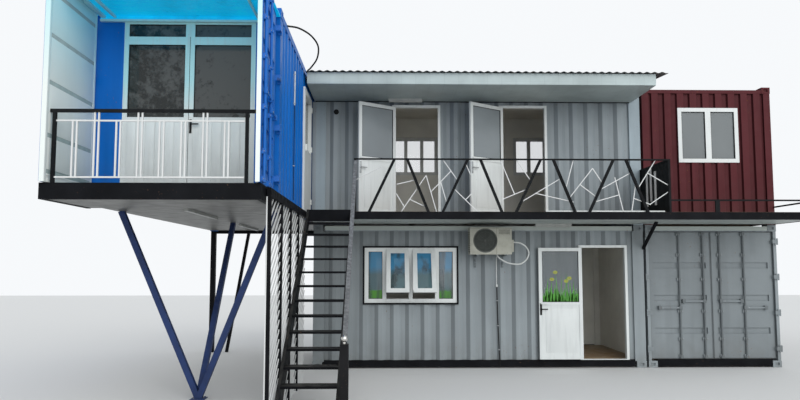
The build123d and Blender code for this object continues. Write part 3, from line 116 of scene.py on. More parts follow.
def make_light():
    scene = bpy.context.scene
    scene.view_settings.view_transform = "Standard"
    world = bpy.data.worlds.new("sky")
    scene.world = world
    world.use_nodes = True
    tree = world.node_tree
    light = tree.nodes["Background"]
    light.inputs["Color"].default_value = SKY_COLOUR
    light.inputs["Strength"].default_value = SKY_STRENGTH
    shown = make_node(tree, "Background", {"Color": BACKDROP_WHITE}).outputs[0]
    rays = make_node(tree, "LightPath").outputs
    seen = make_node(tree, "Math", {0: rays["Is Camera Ray"], 1: rays["Is Transmission Ray"]})
    seen.operation = "MAXIMUM"
    mix = make_node(tree, "MixShader", {"Fac": seen.outputs[0], 1: light.outputs[0], 2: shown})
    tree.links.new(mix.outputs[0], tree.nodes["World Output"].inputs["Surface"])
    sun = bpy.data.lights.new("soft_lamp", "SUN")
    sun.energy = SUN_STRENGTH
    sun.angle = SUN_ANGLE
    lamp = bpy.data.objects.new("soft_lamp", sun)
    lamp.rotation_euler = Euler(SUN_TURN, "XYZ")
    scene.collection.objects.link(lamp)


# Width of the soft step at the edge of a zone
EDGE = 0.002


def times(colour, share):
    return tuple(c * share for c in colour)


class Graph:
    """A short way to write a procedural material's nodes, coat by coat."""

    def __init__(self, name, colour=None):
        self.material = bpy.data.materials.new(name)
        self.material.use_nodes = True
        self.tree = self.material.node_tree
        self.shader = self.tree.nodes["Principled BSDF"]
        self.place = self.node("TexCoord").outputs["Object"]
        self.split = self.node("SeparateXYZ", {0: self.place})
        self.base = self.coat = colour

    def node(self, kind, inputs=()):
        return make_node(self.tree, kind, inputs)

    def drive(self, **outputs):
        """Link outputs to the shader's own sockets."""
        for name, output in outputs.items():
            self.tree.links.new(output, self.shader.inputs[name.replace("_", " ")])

    def set(self, **values):
        """Constants on the shader's own sockets."""
        for name, value in values.items():
            self.shader.inputs[name.replace("_", " ")].default_value = value

    def finish(self, roughness, height, strength, distance, **values):
        """The finished material, from its coat, roughness, bump and constants."""
        bump = self.node("Bump", {"Strength": strength, "Distance": distance, "Height": height})
        self.drive(Base_Color=self.coat, Roughness=roughness, Normal=bump.outputs[0])
        self.set(**values)
        return self.material

    def noise(self, scale, detail, stretch=(1, 1, 1), roughness=0.5):
        spread = self.node("Mapping", {"Scale": stretch, "Vector": self.place}).outputs[0]
        values = {"Scale": scale, "Detail": detail, "Roughness": roughness, "Vector": spread}
        return self.node("TexNoise", values).outputs["Fac"]

    def along(self, axis):
        return self.split.outputs[axis]

    def facing(self, axis):
        """The surface normal's share along one axis of the piece."""
        normal = self.node("TexCoord").outputs["Normal"]
        return self.node("SeparateXYZ", {0: normal}).outputs[axis]

    def span(self, value, low, high, to_low=0.0, to_high=1.0):
        """Map a value from one range to another, held at both ends."""
        ends = {"From Min": low, "From Max": high, "To Min": to_low, "To Max": to_high}
        return self.node("MapRange", {"Value": value, **ends}).outputs["Result"]

    def fade(self, value, low, high):
        """One below the range, zero above it."""
        return self.span(value, low, high, 1.0, 0.0)

    def cloud(self, scale, detail, low=0.3, high=0.7, to_low=0.0, to_high=1.0, stretch=(1, 1, 1)):
        """Noise, with its range mapped to another one."""
        return self.span(self.noise(scale, detail, stretch), low, high, to_low, to_high)

    def sheen(self, scale, detail, low, high):
        """Uneven roughness between two values."""
        return self.cloud(scale, detail, to_low=low, to_high=high)

    def tone(self, value):
        """A colour as it is, or a share of the base colour."""
        return times(self.base, value) if isinstance(value, (int, float)) else value

    def mottle(self, first, second, *cloud):
        """Start the coat with a drift between two shares of the base colour."""
        self.coat = self.blend(self.cloud(*cloud), self.tone(first), self.tone(second))

    def over(self, factor, colour):
        """Lay another colour, or a share of the base colour, over the coat."""
        self.coat = self.blend(factor, self.coat, self.tone(colour))

    def calc(self, operation, a, b):
        node = self.node("Math", {0: a, 1: b})
        node.operation = operation
        return node.outputs[0]

    def both(self, a, b):
        return self.calc("MULTIPLY", a, b)

    def blend(self, factor, a, b):
        """Mix two colours, each an output or an (r, g, b)."""
        node = self.node("Mix")
        node.data_type = "RGBA"
        self.tree.links.new(factor, node.inputs["Factor"])
        for socket, value in ((node.inputs["A"], a), (node.inputs["B"], b)):
            if isinstance(value, tuple):
                socket.default_value = (*value, 1)
            else:
                self.tree.links.new(value, socket)
        return node.outputs["Result"]

    def within(self, box):
        """One inside a box (x1, x2, y1, y2, z1, z2) of the building, zero outside it."""
        inside = None
        for axis in range(3):
            low, high = (measure(axis, end) for end in box[2 * axis:2 * axis + 2])
            value = self.along(axis)
            slab = self.both(
                self.span(value, low - EDGE, low + EDGE), self.fade(value, high - EDGE, high + EDGE)
            )
            inside = slab if inside is None else self.both(inside, slab)
        return inside

    def groove(self, axis, face, bottom):
        """How deep a point lies in a wall's corrugation, between its face and valley planes."""
        start, end = measure(axis, face), measure(axis, bottom)
        value = self.along(axis)
        edge = math.copysign(EDGE / 4, end - start)
        held = self.span(value, end + (end - start) * 0.12, end + edge)
        return self.both(self.span(value, start, end), held)

    def lee(self, axis, face, bottom):
        """The flanks of a corrugation that turn away from the lamp, between face and valley."""
        start, end = sorted((measure(axis, face), measure(axis, bottom)))
        value = self.along(axis)
        held = self.both(self.span(value, start - EDGE, start), self.fade(value, end, end + EDGE))
        turned = self.facing(1 - axis)
        away = self.fade(turned, -0.5, -0.1) if axis == 1 else self.span(turned, 0.1, 0.5)
        return self.both(held, away)


def rib_planes(axis, face, inward):
    """A wall's ribs: the axis across it, and where their faces and valleys lie along it."""
    return axis, face + inward * 0.010, face + inward * 0.046


GRIME = (0.11, 0.10, 0.085)
RUST = (0.20, 0.085, 0.035)
# Colour of the painted shade laid over zones of a wall
SHADE_TONE = (0.03, 0.033, 0.03)
DUST = (0.20, 0.19, 0.17)
WORN = (0.12, 0.07, 0.045)
FADED_BAND = (0.42, 0.46, 0.43)
LINING = (0.86, 0.86, 0.80)
LOWER_ROOM = (0.07, 5.99, 0.070, 2.37, 0.10, 2.52)
RIGHT_ROOM = (RIGHT_LEFT + 0.07, RIGHT_RIGHT - 0.07, 0.105, 5.99, 0.10, 2.52)
UPPER_ROOM = (0.07, 5.99, 0.070, 2.37, STOREY + 0.10, STOREY + 2.52)
RED_ROOM = (
    RIGHT_LEFT + 0.07, RIGHT_RIGHT - 0.07, 0.070, 5.99, STOREY + 0.10, STOREY + 2.49,
)
BLUE_ROOM = (
    BLUE_LEFT + 0.07, BLUE_RIGHT - 0.07, BLUE_FRONT + 0.07, 2.34, STOREY + 0.10, STOREY + 2.52,
)
FRONT_RIBS = rib_planes(1, 0, 1)
LONG_BACK_RIBS = rib_planes(1, UNIT_WIDE, -1)
DEEP_BACK_RIBS = rib_planes(1, UNIT_LONG, -1)
RIGHT_SIDE_RIBS = rib_planes(0, RIGHT_RIGHT, -1)
BLUE_SIDE_RIBS = rib_planes(0, BLUE_RIGHT, -1)
BLUE_LEFT_RIBS = rib_planes(0, BLUE_LEFT, 1)


def container_paint(
    name, colour, gloss=0.42, grime=0.35, base=0.1, rooms=(), ribs=(), shade=0.1, lee_shade=0.36,
    shine=0.28, band=None, painted_shade=(),
):
    """Sprayed container steel: uneven coat, rain streaks, grime at the foot, chips and dents, with
    painted shade in the ribs' valleys, on the flanks turned from the lamp and in given zones.
    """
    g = Graph(name, colour)
    g.mottle(0.9, 1.1, 0.9, 4)
    g.over(g.cloud(5.0, 5, 0.45, 0.75, 0.0, 0.5, (1, 1, 0.07)), 0.64)
    foot = g.span(g.along(2), base, base + 0.55, grime, 0.0)
    g.over(g.both(foot, g.cloud(3.5, 5, 0.3, 0.65)), GRIME)
    chips = g.both(g.cloud(38, 2, 0.70, 0.74), g.cloud(1.4, 2, 0.52, 0.6))
    g.over(chips, RUST)
    # Painted shade: darker towards the given end along an axis, where the wall lies in shade.
    for axis, lit, shaded, share in painted_shade:
        start, end = measure(axis, lit), measure(axis, shaded)
        g.over(g.span(g.along(axis), start, end, 0.0, share), SHADE_TONE)
    if band:
        g.over(g.within(band), FADED_BAND)
    # Painted shade in the corrugation: darker valleys, and darker flanks on the side turned from the
    # lamp.
    for rib in ribs:
        g.over(g.both(g.groove(*rib), shade), 0.3)
        g.over(g.both(g.lee(*rib), lee_shade), 0.3)
    stained = g.blend(g.cloud(1.8, 4, 0.3, 0.75), LINING, times(LINING, 0.8))
    for room in rooms:
        g.over(g.within(room), stained)
    rough = g.calc("ADD", g.sheen(7, 4, gloss - 0.07, gloss + 0.12), chips)
    dents = g.calc("ADD", g.noise(2.1, 2), g.both(g.noise(160, 2), 0.05))
    return g.finish(rough, dents, 0.35, 0.02, Specular_IOR_Level=shine)


def enamel(name, colour, gloss=0.5, dust=0.25, shine=0.05, zone=None, light=(), zone_dark=True):
    """Brushed enamel on bars, with dust on top and worn spots; bare zinc in or round a zone."""
    g = Graph(name, colour)
    g.mottle(0.8, 1.35, 4, 4)
    if zone:
        zinc = g.blend(g.cloud(22, 5, 0.42, 0.62), times(light, 0.6), light)
        pair = (zinc, g.coat) if zone_dark else (g.coat, zinc)
        g.coat = g.blend(g.within(zone), *pair)
    g.over(g.both(g.span(g.facing(2), 0.5, 1.0, 0, dust), g.cloud(9, 4, 0.25, 0.7)), DUST)
    g.over(g.both(g.cloud(45, 3, 0.68, 0.73), g.cloud(2.2, 2, 0.5, 0.6)), WORN)
    rough = g.sheen(12, 3, gloss - 0.08, gloss + 0.14)
    return g.finish(rough, g.noise(90, 3, (1, 1, 0.2)), 0.12, 0.004, Specular_IOR_Level=shine)


def white_coat(name, colour, gloss=0.35, dirt=0.45, roof_light_above=None):
    """White coated aluminium or enamel: faint grain, rain marks, dirt in patches, and painted cyan
    light from the blue roof above a given level.
    """
    g = Graph(name, colour)
    g.mottle(0.94, 1.03, 1.7, 3)
    # Painted light: a cyan cast from the translucent blue roof, stronger upwards.
    if roof_light_above:
        g.over(g.span(g.along(2), roof_light_above, roof_light_above + 0.5), (0.42, 0.72, 0.74))
    g.over(g.cloud(16, 5, 0.5, 0.8, 0, dirt, (1, 1, 0.1)), 0.68)
    g.over(g.cloud(70, 2, 0.72, 0.77, 0, 0.6), (0.25, 0.22, 0.18))
    return g.finish(g.sheen(20, 3, gloss - 0.06, gloss + 0.1), g.noise(220, 2), 0.08, 0.002)


UPPER_LEVELS = (STOREY, 2 * STOREY)
BALCONY_ZONE = (-2.4, -0.1, -3.7, -3.5, *UPPER_LEVELS)
WINDOW_ZONE = (0.9, 2.7, -0.5, 0.10, 1.1, 2.25)
LEAF_ZONE = (0.5, 4.6, -0.8, -0.032, *UPPER_LEVELS)
RED_ZONE = (RIGHT_LEFT + 0.5, RIGHT_RIGHT, -0.05, 0.2, *UPPER_LEVELS)
SIDE_ZONE = (-0.2, 0.05, -1.4, -0.2, *UPPER_LEVELS)
GLASS_IOR = 1.45


def mirrored_sky(g):
    """A painted reflection of an open place in a tinted pane: green low down, blue sky at the top."""
    height = g.calc("ADD", g.along(2), g.both(g.noise(9, 4), 0.09))
    foot = g.blend(g.span(height, 1.42, 1.46), (0.09, 0.33, 0.035), (0.10, 0.17, 0.19))
    sky = g.blend(g.span(height, 1.72, 1.86), foot, (0.055, 0.24, 0.42))
    dark = g.cloud(7, 3, 0.46, 0.60, 0.0, 0.75, (1, 1, 0.12))
    return g.blend(dark, sky, (0.05, 0.065, 0.07))


def mirrored_trees(g):
    """Dim reflections in the balcony's panes, darker and leafier to the left."""
    leafy = g.noise(7, 8, roughness=0.7)
    side = g.span(g.along(0), measure(0, -1.55), measure(0, -0.95), 0.0, 0.16)
    low = g.span(g.along(2), STOREY + 1.05, STOREY + 1.35, -0.16, 0.0)
    share = g.span(g.calc("ADD", g.calc("ADD", leafy, side), low), 0.47, 0.60)
    return g.blend(share, (0.014, 0.017, 0.016), (0.075, 0.078, 0.075))


def pane_glass(name, tint, cover=0.12, reflection_zones=()):
    """Float glass: a tinted film with dust, a clear share that lets light through, and zones of
    painted reflection.
    """
    g = Graph(name, tint)
    g.mottle(0.75, 1, 0.8, 3, 0.35, 0.65)
    g.over(g.cloud(5, 4, 0.5, 0.85, 0, 0.18, (1, 1, 0.4)), (0.50, 0.52, 0.50))
    fresnel = g.node("Fresnel", {"IOR": GLASS_IOR}).outputs[0]
    film = g.span(fresnel, 0.0, 1.0, cover, 1.0)
    # Each zone lays a painted reflection over the pane and makes the pane more opaque there.
    for box, other, thick in reflection_zones:
        inside = g.within(box)
        if callable(other):
            painted_reflection = other(g)
        else:
            painted_reflection = g.blend(g.noise(1.2, 3), times(other, 0.8), times(other, 1.2))
        g.over(inside, painted_reflection)
        film = g.calc("MAXIMUM", film, g.both(inside, thick))
    g.drive(Alpha=film)
    rough = g.cloud(14, 3, 0.3, 0.8, 0.03, 0.1)
    return g.finish(rough, g.noise(1.3, 2), 0.05, 0.01, Specular_IOR_Level=0.5)


def plywood(name):
    """Container floor: varnished plywood with long grain, seams and scuffs."""
    g = Graph(name)
    grain = g.noise(4.5, 8, (0.6, 7, 7), 0.65)
    g.coat = g.blend(g.span(grain, 0.3, 0.7), (0.20, 0.12, 0.06), (0.40, 0.27, 0.15))
    g.over(g.cloud(3, 5, 0.5, 0.75, 0, 0.6), (0.30, 0.27, 0.23))
    return g.finish(g.sheen(6, 4, 0.38, 0.62), grain, 0.2, 0.003)


def lining(name, colour, shine=0.5, seams=0.30):
    """Painted ceiling and underside sheet: panel joints, stains and a soft shine."""
    g = Graph(name, colour)
    g.mottle(1, 0.72, 1.6, 5, 0.35, 0.75)
    joint = g.node("TexWave", {"Scale": 1.3, "Distortion": 0.0, "Vector": g.place})
    joint.wave_type = "BANDS"
    joint.bands_direction = "X"
    g.over(g.span(joint.outputs["Fac"], 0.0, 0.02, seams, 0.0), 0.45)
    rough = g.sheen(5, 4, 0.36, 0.5)
    return g.finish(rough, g.noise(40, 2), 0.05, 0.002, Specular_IOR_Level=shine)


def roof_steel(name, colour):
    """Coated roofing sheet: chalky patches and water runs down the slope."""
    g = Graph(name, colour)
    g.mottle(0.75, 1.35, 2.4, 5)
    g.over(g.cloud(10, 4, 0.5, 0.8, 0, 0.55, (1, 0.12, 1)), (0.27, 0.24, 0.20))
    return g.finish(g.sheen(8, 3, 0.4, 0.65), g.noise(50, 3), 0.1, 0.003)


def tarpaulin(name):
    """Thin blue translucent sheeting, creased in the wind; its paler creases and its glow are painted
    daylight coming through.
    """
    g = Graph(name)
    fold = g.noise(2.2, 6, (1, 0.5, 1), 0.62)
    crease = g.noise(7.5, 8, (0.6, 1.4, 1), 0.7)
    depth = g.calc("ADD", g.both(fold, 0.6), g.both(crease, 0.4))
    g.coat = g.blend(g.span(depth, 0.38, 0.62), (0.001, 0.24, 0.46), (0.004, 0.55, 0.85))
    # The emission is a painted glow of daylight through the sheet, which is no lamp.
    return g.finish(
        g.span(crease, 0.3, 0.7, 0.25, 0.5), depth, 0.8, 0.05,
        Emission_Color=(0.0, 0.34, 0.58, 1), Emission_Strength=0.6,
    )


# The opened blue leaves: their middle plane from the container's side, their reach to the
# front, and how far the right one's free edge swings past square
LEAF_MIDDLE = 0.081
LEAF_REACH = 1.21
LEAF_SWING = 0.0535


def two_sided_leaves(name, outside, inside):
    """The opened blue leaves: blue outside, white inside, told apart by place and facing."""
    g = Graph(name, outside)
    x, y = g.along(0), g.along(1)
    left = measure(0, BLUE_LEFT + LEAF_MIDDLE)
    right = measure(0, BLUE_RIGHT - LEAF_MIDDLE)
    free_edge = measure(1, BLUE_FRONT - LEAF_REACH)
    swing = g.span(y, free_edge, measure(1, BLUE_FRONT), LEAF_SWING, 0)
    left_in = g.span(x, left, left + EDGE)
    right_in = g.fade(g.calc("SUBTRACT", x, swing), right - EDGE, right)
    turned = g.facing(0)
    centre = (left + right) / 2
    away_left = g.both(g.fade(turned, -0.7, -0.5), g.fade(x, centre - EDGE, centre))
    away_right = g.both(g.span(turned, 0.5, 0.7), g.span(x, centre, centre + EDGE))
    away = g.calc("ADD", away_left, away_right)
    lined = g.calc("MAXIMUM", g.calc("SUBTRACT", g.both(left_in, right_in), away), 0.0)
    end_face = g.both(g.fade(g.facing(1), -0.7, -0.5), g.fade(y, free_edge, free_edge + EDGE))
    g.mottle(0.85, 1.15, 1.1, 4)
    g.over(g.both(g.cloud(18, 4, 0.58, 0.66), g.cloud(2, 2, 0.45, 0.6)), (0.01, 0.02, 0.06))
    g.over(g.calc("MAXIMUM", lined, end_face), leaf_white(g, inside))
    return g.finish(g.sheen(9, 3, 0.3, 0.5), g.noise(2.4, 3), 0.3, 0.015)


def leaf_white(g, colour):
    """White lining with rain stains, and painted cyan light from the blue roof near its top."""
    stain = g.cloud(6, 5, 0.5, 0.8, 0, 0.35, (1, 1, 0.12))
    white = g.blend(stain, colour, times(colour, 0.8))
    # Painted light: the translucent blue roof's cyan cast, stronger towards the top.
    top = g.span(g.along(2), STOREY + 1.2, STOREY + 2.5, 0.0, 0.85)
    return g.blend(top, white, (colour[0] * 0.5, colour[1] * 0.92, colour[2] * 1.02))


def lining_panels(name, colour):
    g = Graph(name)
    g.coat = leaf_white(g, colour)
    return g.finish(g.sheen(9, 3, 0.3, 0.5), g.noise(2.4, 3), 0.3, 0.015)


def speckled(name, colour, gloss, metal=0.0, depth=0.15, shine=0.5, shaded_mouth=None):
    """Small fittings: moulded or cast, with a fine grain and handling marks."""
    g = Graph(name, colour)
    g.mottle(0.86, 1.08, 8, 4)
    g.over(g.cloud(26, 5, 0.6, 0.78, 0, 0.5), 0.55)
    # Painted shade: the casing inside the fan's mouth is darkened where the opening lies in shade.
    if shaded_mouth:
        x, z, radius, front = shaded_mouth
        squares = (
            g.calc("POWER", g.calc("SUBTRACT", g.along(axis), measure(axis, middle)), 2.0)
            for axis, middle in ((0, x), (2, z))
        )
        near = g.fade(g.calc("ADD", *squares), radius ** 2 * 0.98, radius ** 2)
        start = measure(1, front)
        g.over(g.both(near, g.fade(g.along(1), start, start + EDGE)), (0.07, 0.078, 0.07))
    rough = g.sheen(30, 3, gloss, gloss + 0.12)
    grain = g.noise(120, 2)
    return g.finish(rough, grain, depth, 0.002, Metallic=metal, Specular_IOR_Level=shine)


GREY = (0.28, 0.315, 0.33)
GREY_UPPER = (0.285, 0.325, 0.345)
RED = (0.093, 0.021, 0.025)
BLUE = (0.004, 0.132, 0.49)
BLACK = (0.007, 0.0075, 0.009)
WHITE = (0.68, 0.71, 0.70)
LEAF_WHITE = (0.79, 0.84, 0.81)
NEWEL_ZONE = (0.79, 0.90, -4.23, -4.11, -0.1, 0.93)
LOWER_FRONT_RAILS = (-0.1, 8.6, -0.1, 0.12, 2.489, 2.572)
AC_BRACKETS = (2.7, 3.7, -0.5, 0.1, 1.7, 2.1)
AC_FRONT = -0.400
FAN = (3.083, 2.285)
# Where the casing is painted with shade inside the fan's mouth: centre, radius and front
FAN_MOUTH = (*FAN, 0.216, -0.36)
# Painted reflections in the panes: each zone, the colour or painting laid in it, and how much of the
# pane it covers.
PANE_REFLECTIONS = (
    (BALCONY_ZONE, mirrored_trees, 0.97), (WINDOW_ZONE, mirrored_sky, 0.80),
    (LEAF_ZONE, (0.31, 0.345, 0.36), 0.66), (RED_ZONE, (0.135, 0.155, 0.16), 0.85),
    (SIDE_ZONE, (0.20, 0.22, 0.22), 0.70),
)


def make_materials():
    lower_rooms = (LOWER_ROOM, RIGHT_ROOM)
    rooms = (*lower_rooms, UPPER_ROOM)
    ribs = (FRONT_RIBS, LONG_BACK_RIBS, DEEP_BACK_RIBS, RIGHT_SIDE_RIBS)
    upper_foot = STOREY + 0.1
    return {
        "grey": container_paint("grey_paint", GREY, rooms=rooms, ribs=ribs),
        "grey_lower": container_paint(
            "grey_paint_lower", GREY, rooms=lower_rooms, ribs=ribs,
            # Painted shade on the lower wall: darker to the left under the blue container, and
            # towards the top under the deck.
            painted_shade=((0, 1.5, 0.3, 0.36), (2, 2.0, 2.45, 0.25)),
        ),
        "grey_upper": container_paint(
            "grey_paint_upper", GREY_UPPER, base=upper_foot, grime=0.2,
            rooms=(UPPER_ROOM,), ribs=(FRONT_RIBS, LONG_BACK_RIBS),
        ),
        "grey_leaf": container_paint("grey_leaf_paint", times(GREY, 0.78)),
        "pale": container_paint("pale_post_paint", (0.31, 0.375, 0.41), grime=0.15),
        "rails": container_paint(
            "rail_paint", GREY_UPPER, grime=0.0, base=STOREY, band=LOWER_FRONT_RAILS, rooms=rooms
        ),
        # The grey leaves' rods, catches and seals in a darker grey: painted shade along the rods.
        "rod_shade_grey": container_paint("rod_paint_shaded", times(GREY, 0.5)),
        "red": container_paint(
            "maroon_paint", RED, gloss=0.45, base=upper_foot, grime=0.16, rooms=(RED_ROOM,),
            ribs=(FRONT_RIBS, DEEP_BACK_RIBS, RIGHT_SIDE_RIBS), shade=0.2, lee_shade=0.75, shine=0.08,
        ),
        "blue": container_paint(
            "blue_paint", BLUE, gloss=0.36, base=upper_foot, grime=0.2, rooms=(BLUE_ROOM,),
            ribs=(BLUE_SIDE_RIBS, BLUE_LEFT_RIBS), shine=0.14,
        ),
        "leaves": two_sided_leaves("leaf_paint", BLUE, LEAF_WHITE),
        "leaf_lining": lining_panels("leaf_lining", LEAF_WHITE),
        "blue_fitting": container_paint("blue_fitting_paint", BLUE, base=STOREY),
        "black": enamel("black_enamel", BLACK),
        "rail_black": enamel("rail_enamel", (0.010, 0.011, 0.012)),
        "handrail": enamel(
            "handrail_coat", (0.009, 0.009, 0.010), zone=NEWEL_ZONE, light=(0.20, 0.21, 0.22),
            shine=0.12,
        ),
        "bracket": enamel(
            "bracket_enamel", BLACK, zone=AC_BRACKETS, zone_dark=False, light=(0.24, 0.27, 0.28)
        ),
        "navy": enamel("navy_enamel", (0.010, 0.030, 0.115), dust=0.3, shine=0.35),
        "white": white_coat("white_coating", WHITE),
        # The balcony's white parts take painted cyan light from its blue roof.
        "white_balcony": white_coat("white_coating_balcony", WHITE, roof_light_above=3.72),
        "bars": white_coat("white_enamel", (0.66, 0.67, 0.66), gloss=0.4, dirt=0.35),
        "glass": pane_glass("pane", (0.30, 0.34, 0.35), reflection_zones=PANE_REFLECTIONS),
        "door_glass": pane_glass("door_pane", (0.20, 0.24, 0.26), cover=0.45),
        "floor": plywood("plywood"),
        "ceiling": lining("ceiling_sheet", (0.118, 0.117, 0.106), shine=0.6),
        "soffit": lining("soffit_sheet", (0.42, 0.46, 0.44)),
        "fascia": lining("fascia_sheet", (0.43, 0.51, 0.51), seams=0.12),
        "roof": roof_steel("roofing", (0.055, 0.060, 0.063)),
        "cyan": tarpaulin("blue_sheeting"),
        "casing": speckled("casing", (0.37, 0.37, 0.31), 0.42, shaded_mouth=FAN_MOUTH),
        "steel": speckled("bright_steel", (0.72, 0.70, 0.66), 0.12, metal=1.0, depth=0.05),
        "zinc": speckled("zinc_plate", (0.42, 0.44, 0.45), 0.4, metal=0.6),
        "lamp": speckled("diffuser", (0.42, 0.43, 0.41), 0.35),
        "rubber": speckled("dark_rubber", (0.012, 0.012, 0.012), 0.6, shine=0.2),
        "pipe": speckled("white_pipe", (0.66, 0.68, 0.66), 0.3, depth=0.06),
        "green": speckled("green_film", (0.055, 0.30, 0.012), 0.3, depth=0.03),
        "petal": speckled("pale_film", (0.33, 0.36, 0.025), 0.3, depth=0.03),
        "groove": speckled("groove_shadow", (0.40, 0.49, 0.48), 0.5, shine=0.1),
        "fan": speckled("fan_plastic", (0.075, 0.083, 0.075), 0.5, shine=0.2),
    }


NODE_LOOKS = {
    "grey_lower": "lower_walls lower_corner_posts",
    "grey": "door_heads hinge_lugs grey_roofs",
    "grey_leaf": "container_door_left container_door_right",
    "grey_upper": "upper_walls",
    "rails": "grey_rails",
    "bracket": "wall_brackets",
    "white_balcony": "balcony_glazed_doors",
    "pale": "upper_corner_posts",
    "red": "red_corner_posts red_rails red_roof red_walls",
    "blue": "blue_corner_posts blue_rails blue_roof blue_walls blue_front_panel",
    "leaves": "blue_container_doors",
    "black": "base_rails deck_frame balcony_floor stair_screen awning_purlins packing_plates"
    " window_trim rear_supports stair_treads",
    "rail_black": "deck_railing low_rail balcony_railing stair_stringers",
    "handrail": "stair_railing",
    "navy": "support_struts",
    "white": "door_frames entrance_door side_door upper_doors window_frames",
    "bars": "railing_white_bars balcony_bars",
    "glass": "glass_panes",
    "door_glass": "entrance_door_glass",
    "floor": "floors deck_boards",
    "ceiling": "blue_underside",
    "soffit": "deck_soffit",
    "fascia": "awning_fascia",
    "roof": "awning_sheet",
    "cyan": "balcony_roof",
    "casing": "ac_unit",
    "steel": "newel_ball",
    "lamp": "tube_lights",
    "rubber": "wall_vent",
}


def dress_nodes():
    for look, nodes in NODE_LOOKS.items():
        for name in nodes.split():
            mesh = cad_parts[name].data
            mesh.materials.clear()
            mesh.materials.append(looks[look])


FLOOR_HALF = 30.0
FLOOR_LEVEL = -0.002
FLOOR_COLOUR = (0.72, 0.72, 0.71)


def make_floor():
    """A plain pale floor under the building, which keeps its shadow."""
    mesh = bpy.data.meshes.new("studio_floor")
    corners = [(x * FLOOR_HALF, y * FLOOR_HALF, FLOOR_LEVEL) for x, y in (
        (-1, -1), (1, -1), (1, 1), (-1, 1)
    )]
    mesh.from_pydata(corners, [], [(0, 1, 2, 3)])
    floor = bpy.data.objects.new("studio_floor", mesh)
    bpy.context.scene.collection.objects.link(floor)
    g = Graph("pale_floor")
    g.set(Base_Color=(*FLOOR_COLOUR, 1), Roughness=0.9)
    mesh.materials.append(g.material)


def ellipse(radius, sides, flat=1.0):
    """Points of a circle or ellipse, in order."""
    turns = [2 * math.pi * i / sides for i in range(sides)]
    return [(radius * math.cos(t), radius * flat * math.sin(t)) for t in turns]


def curve(points, steps=6):
    """A smooth line through the given points, for bent pipes."""
    line = []
    count = len(points)
    for i in range(count - 1):
        p = [Vector(points[max(0, min(count - 1, i + j))]) for j in (-1, 0, 1, 2)]
        for k in range(steps):
            t = k / steps
            a = 2 * p[1] + (p[2] - p[0]) * t
            b = (2 * p[0] - 5 * p[1] + 4 * p[2] - p[3]) * t * t
            c = (3 * p[1] - p[0] - 3 * p[2] + p[3]) * t * t * t
            line.append(tuple((a + b + c) / 2))
    return line + [tuple(points[-1])]


def square_to(along):
    """A direction square to the given one, upward unless that one is upright."""
    spare = Vector((0, 0, 1)) if abs(along.z) < 0.9 else Vector((0, 1, 0))
    return (spare - along * spare.dot(along)).normalized()


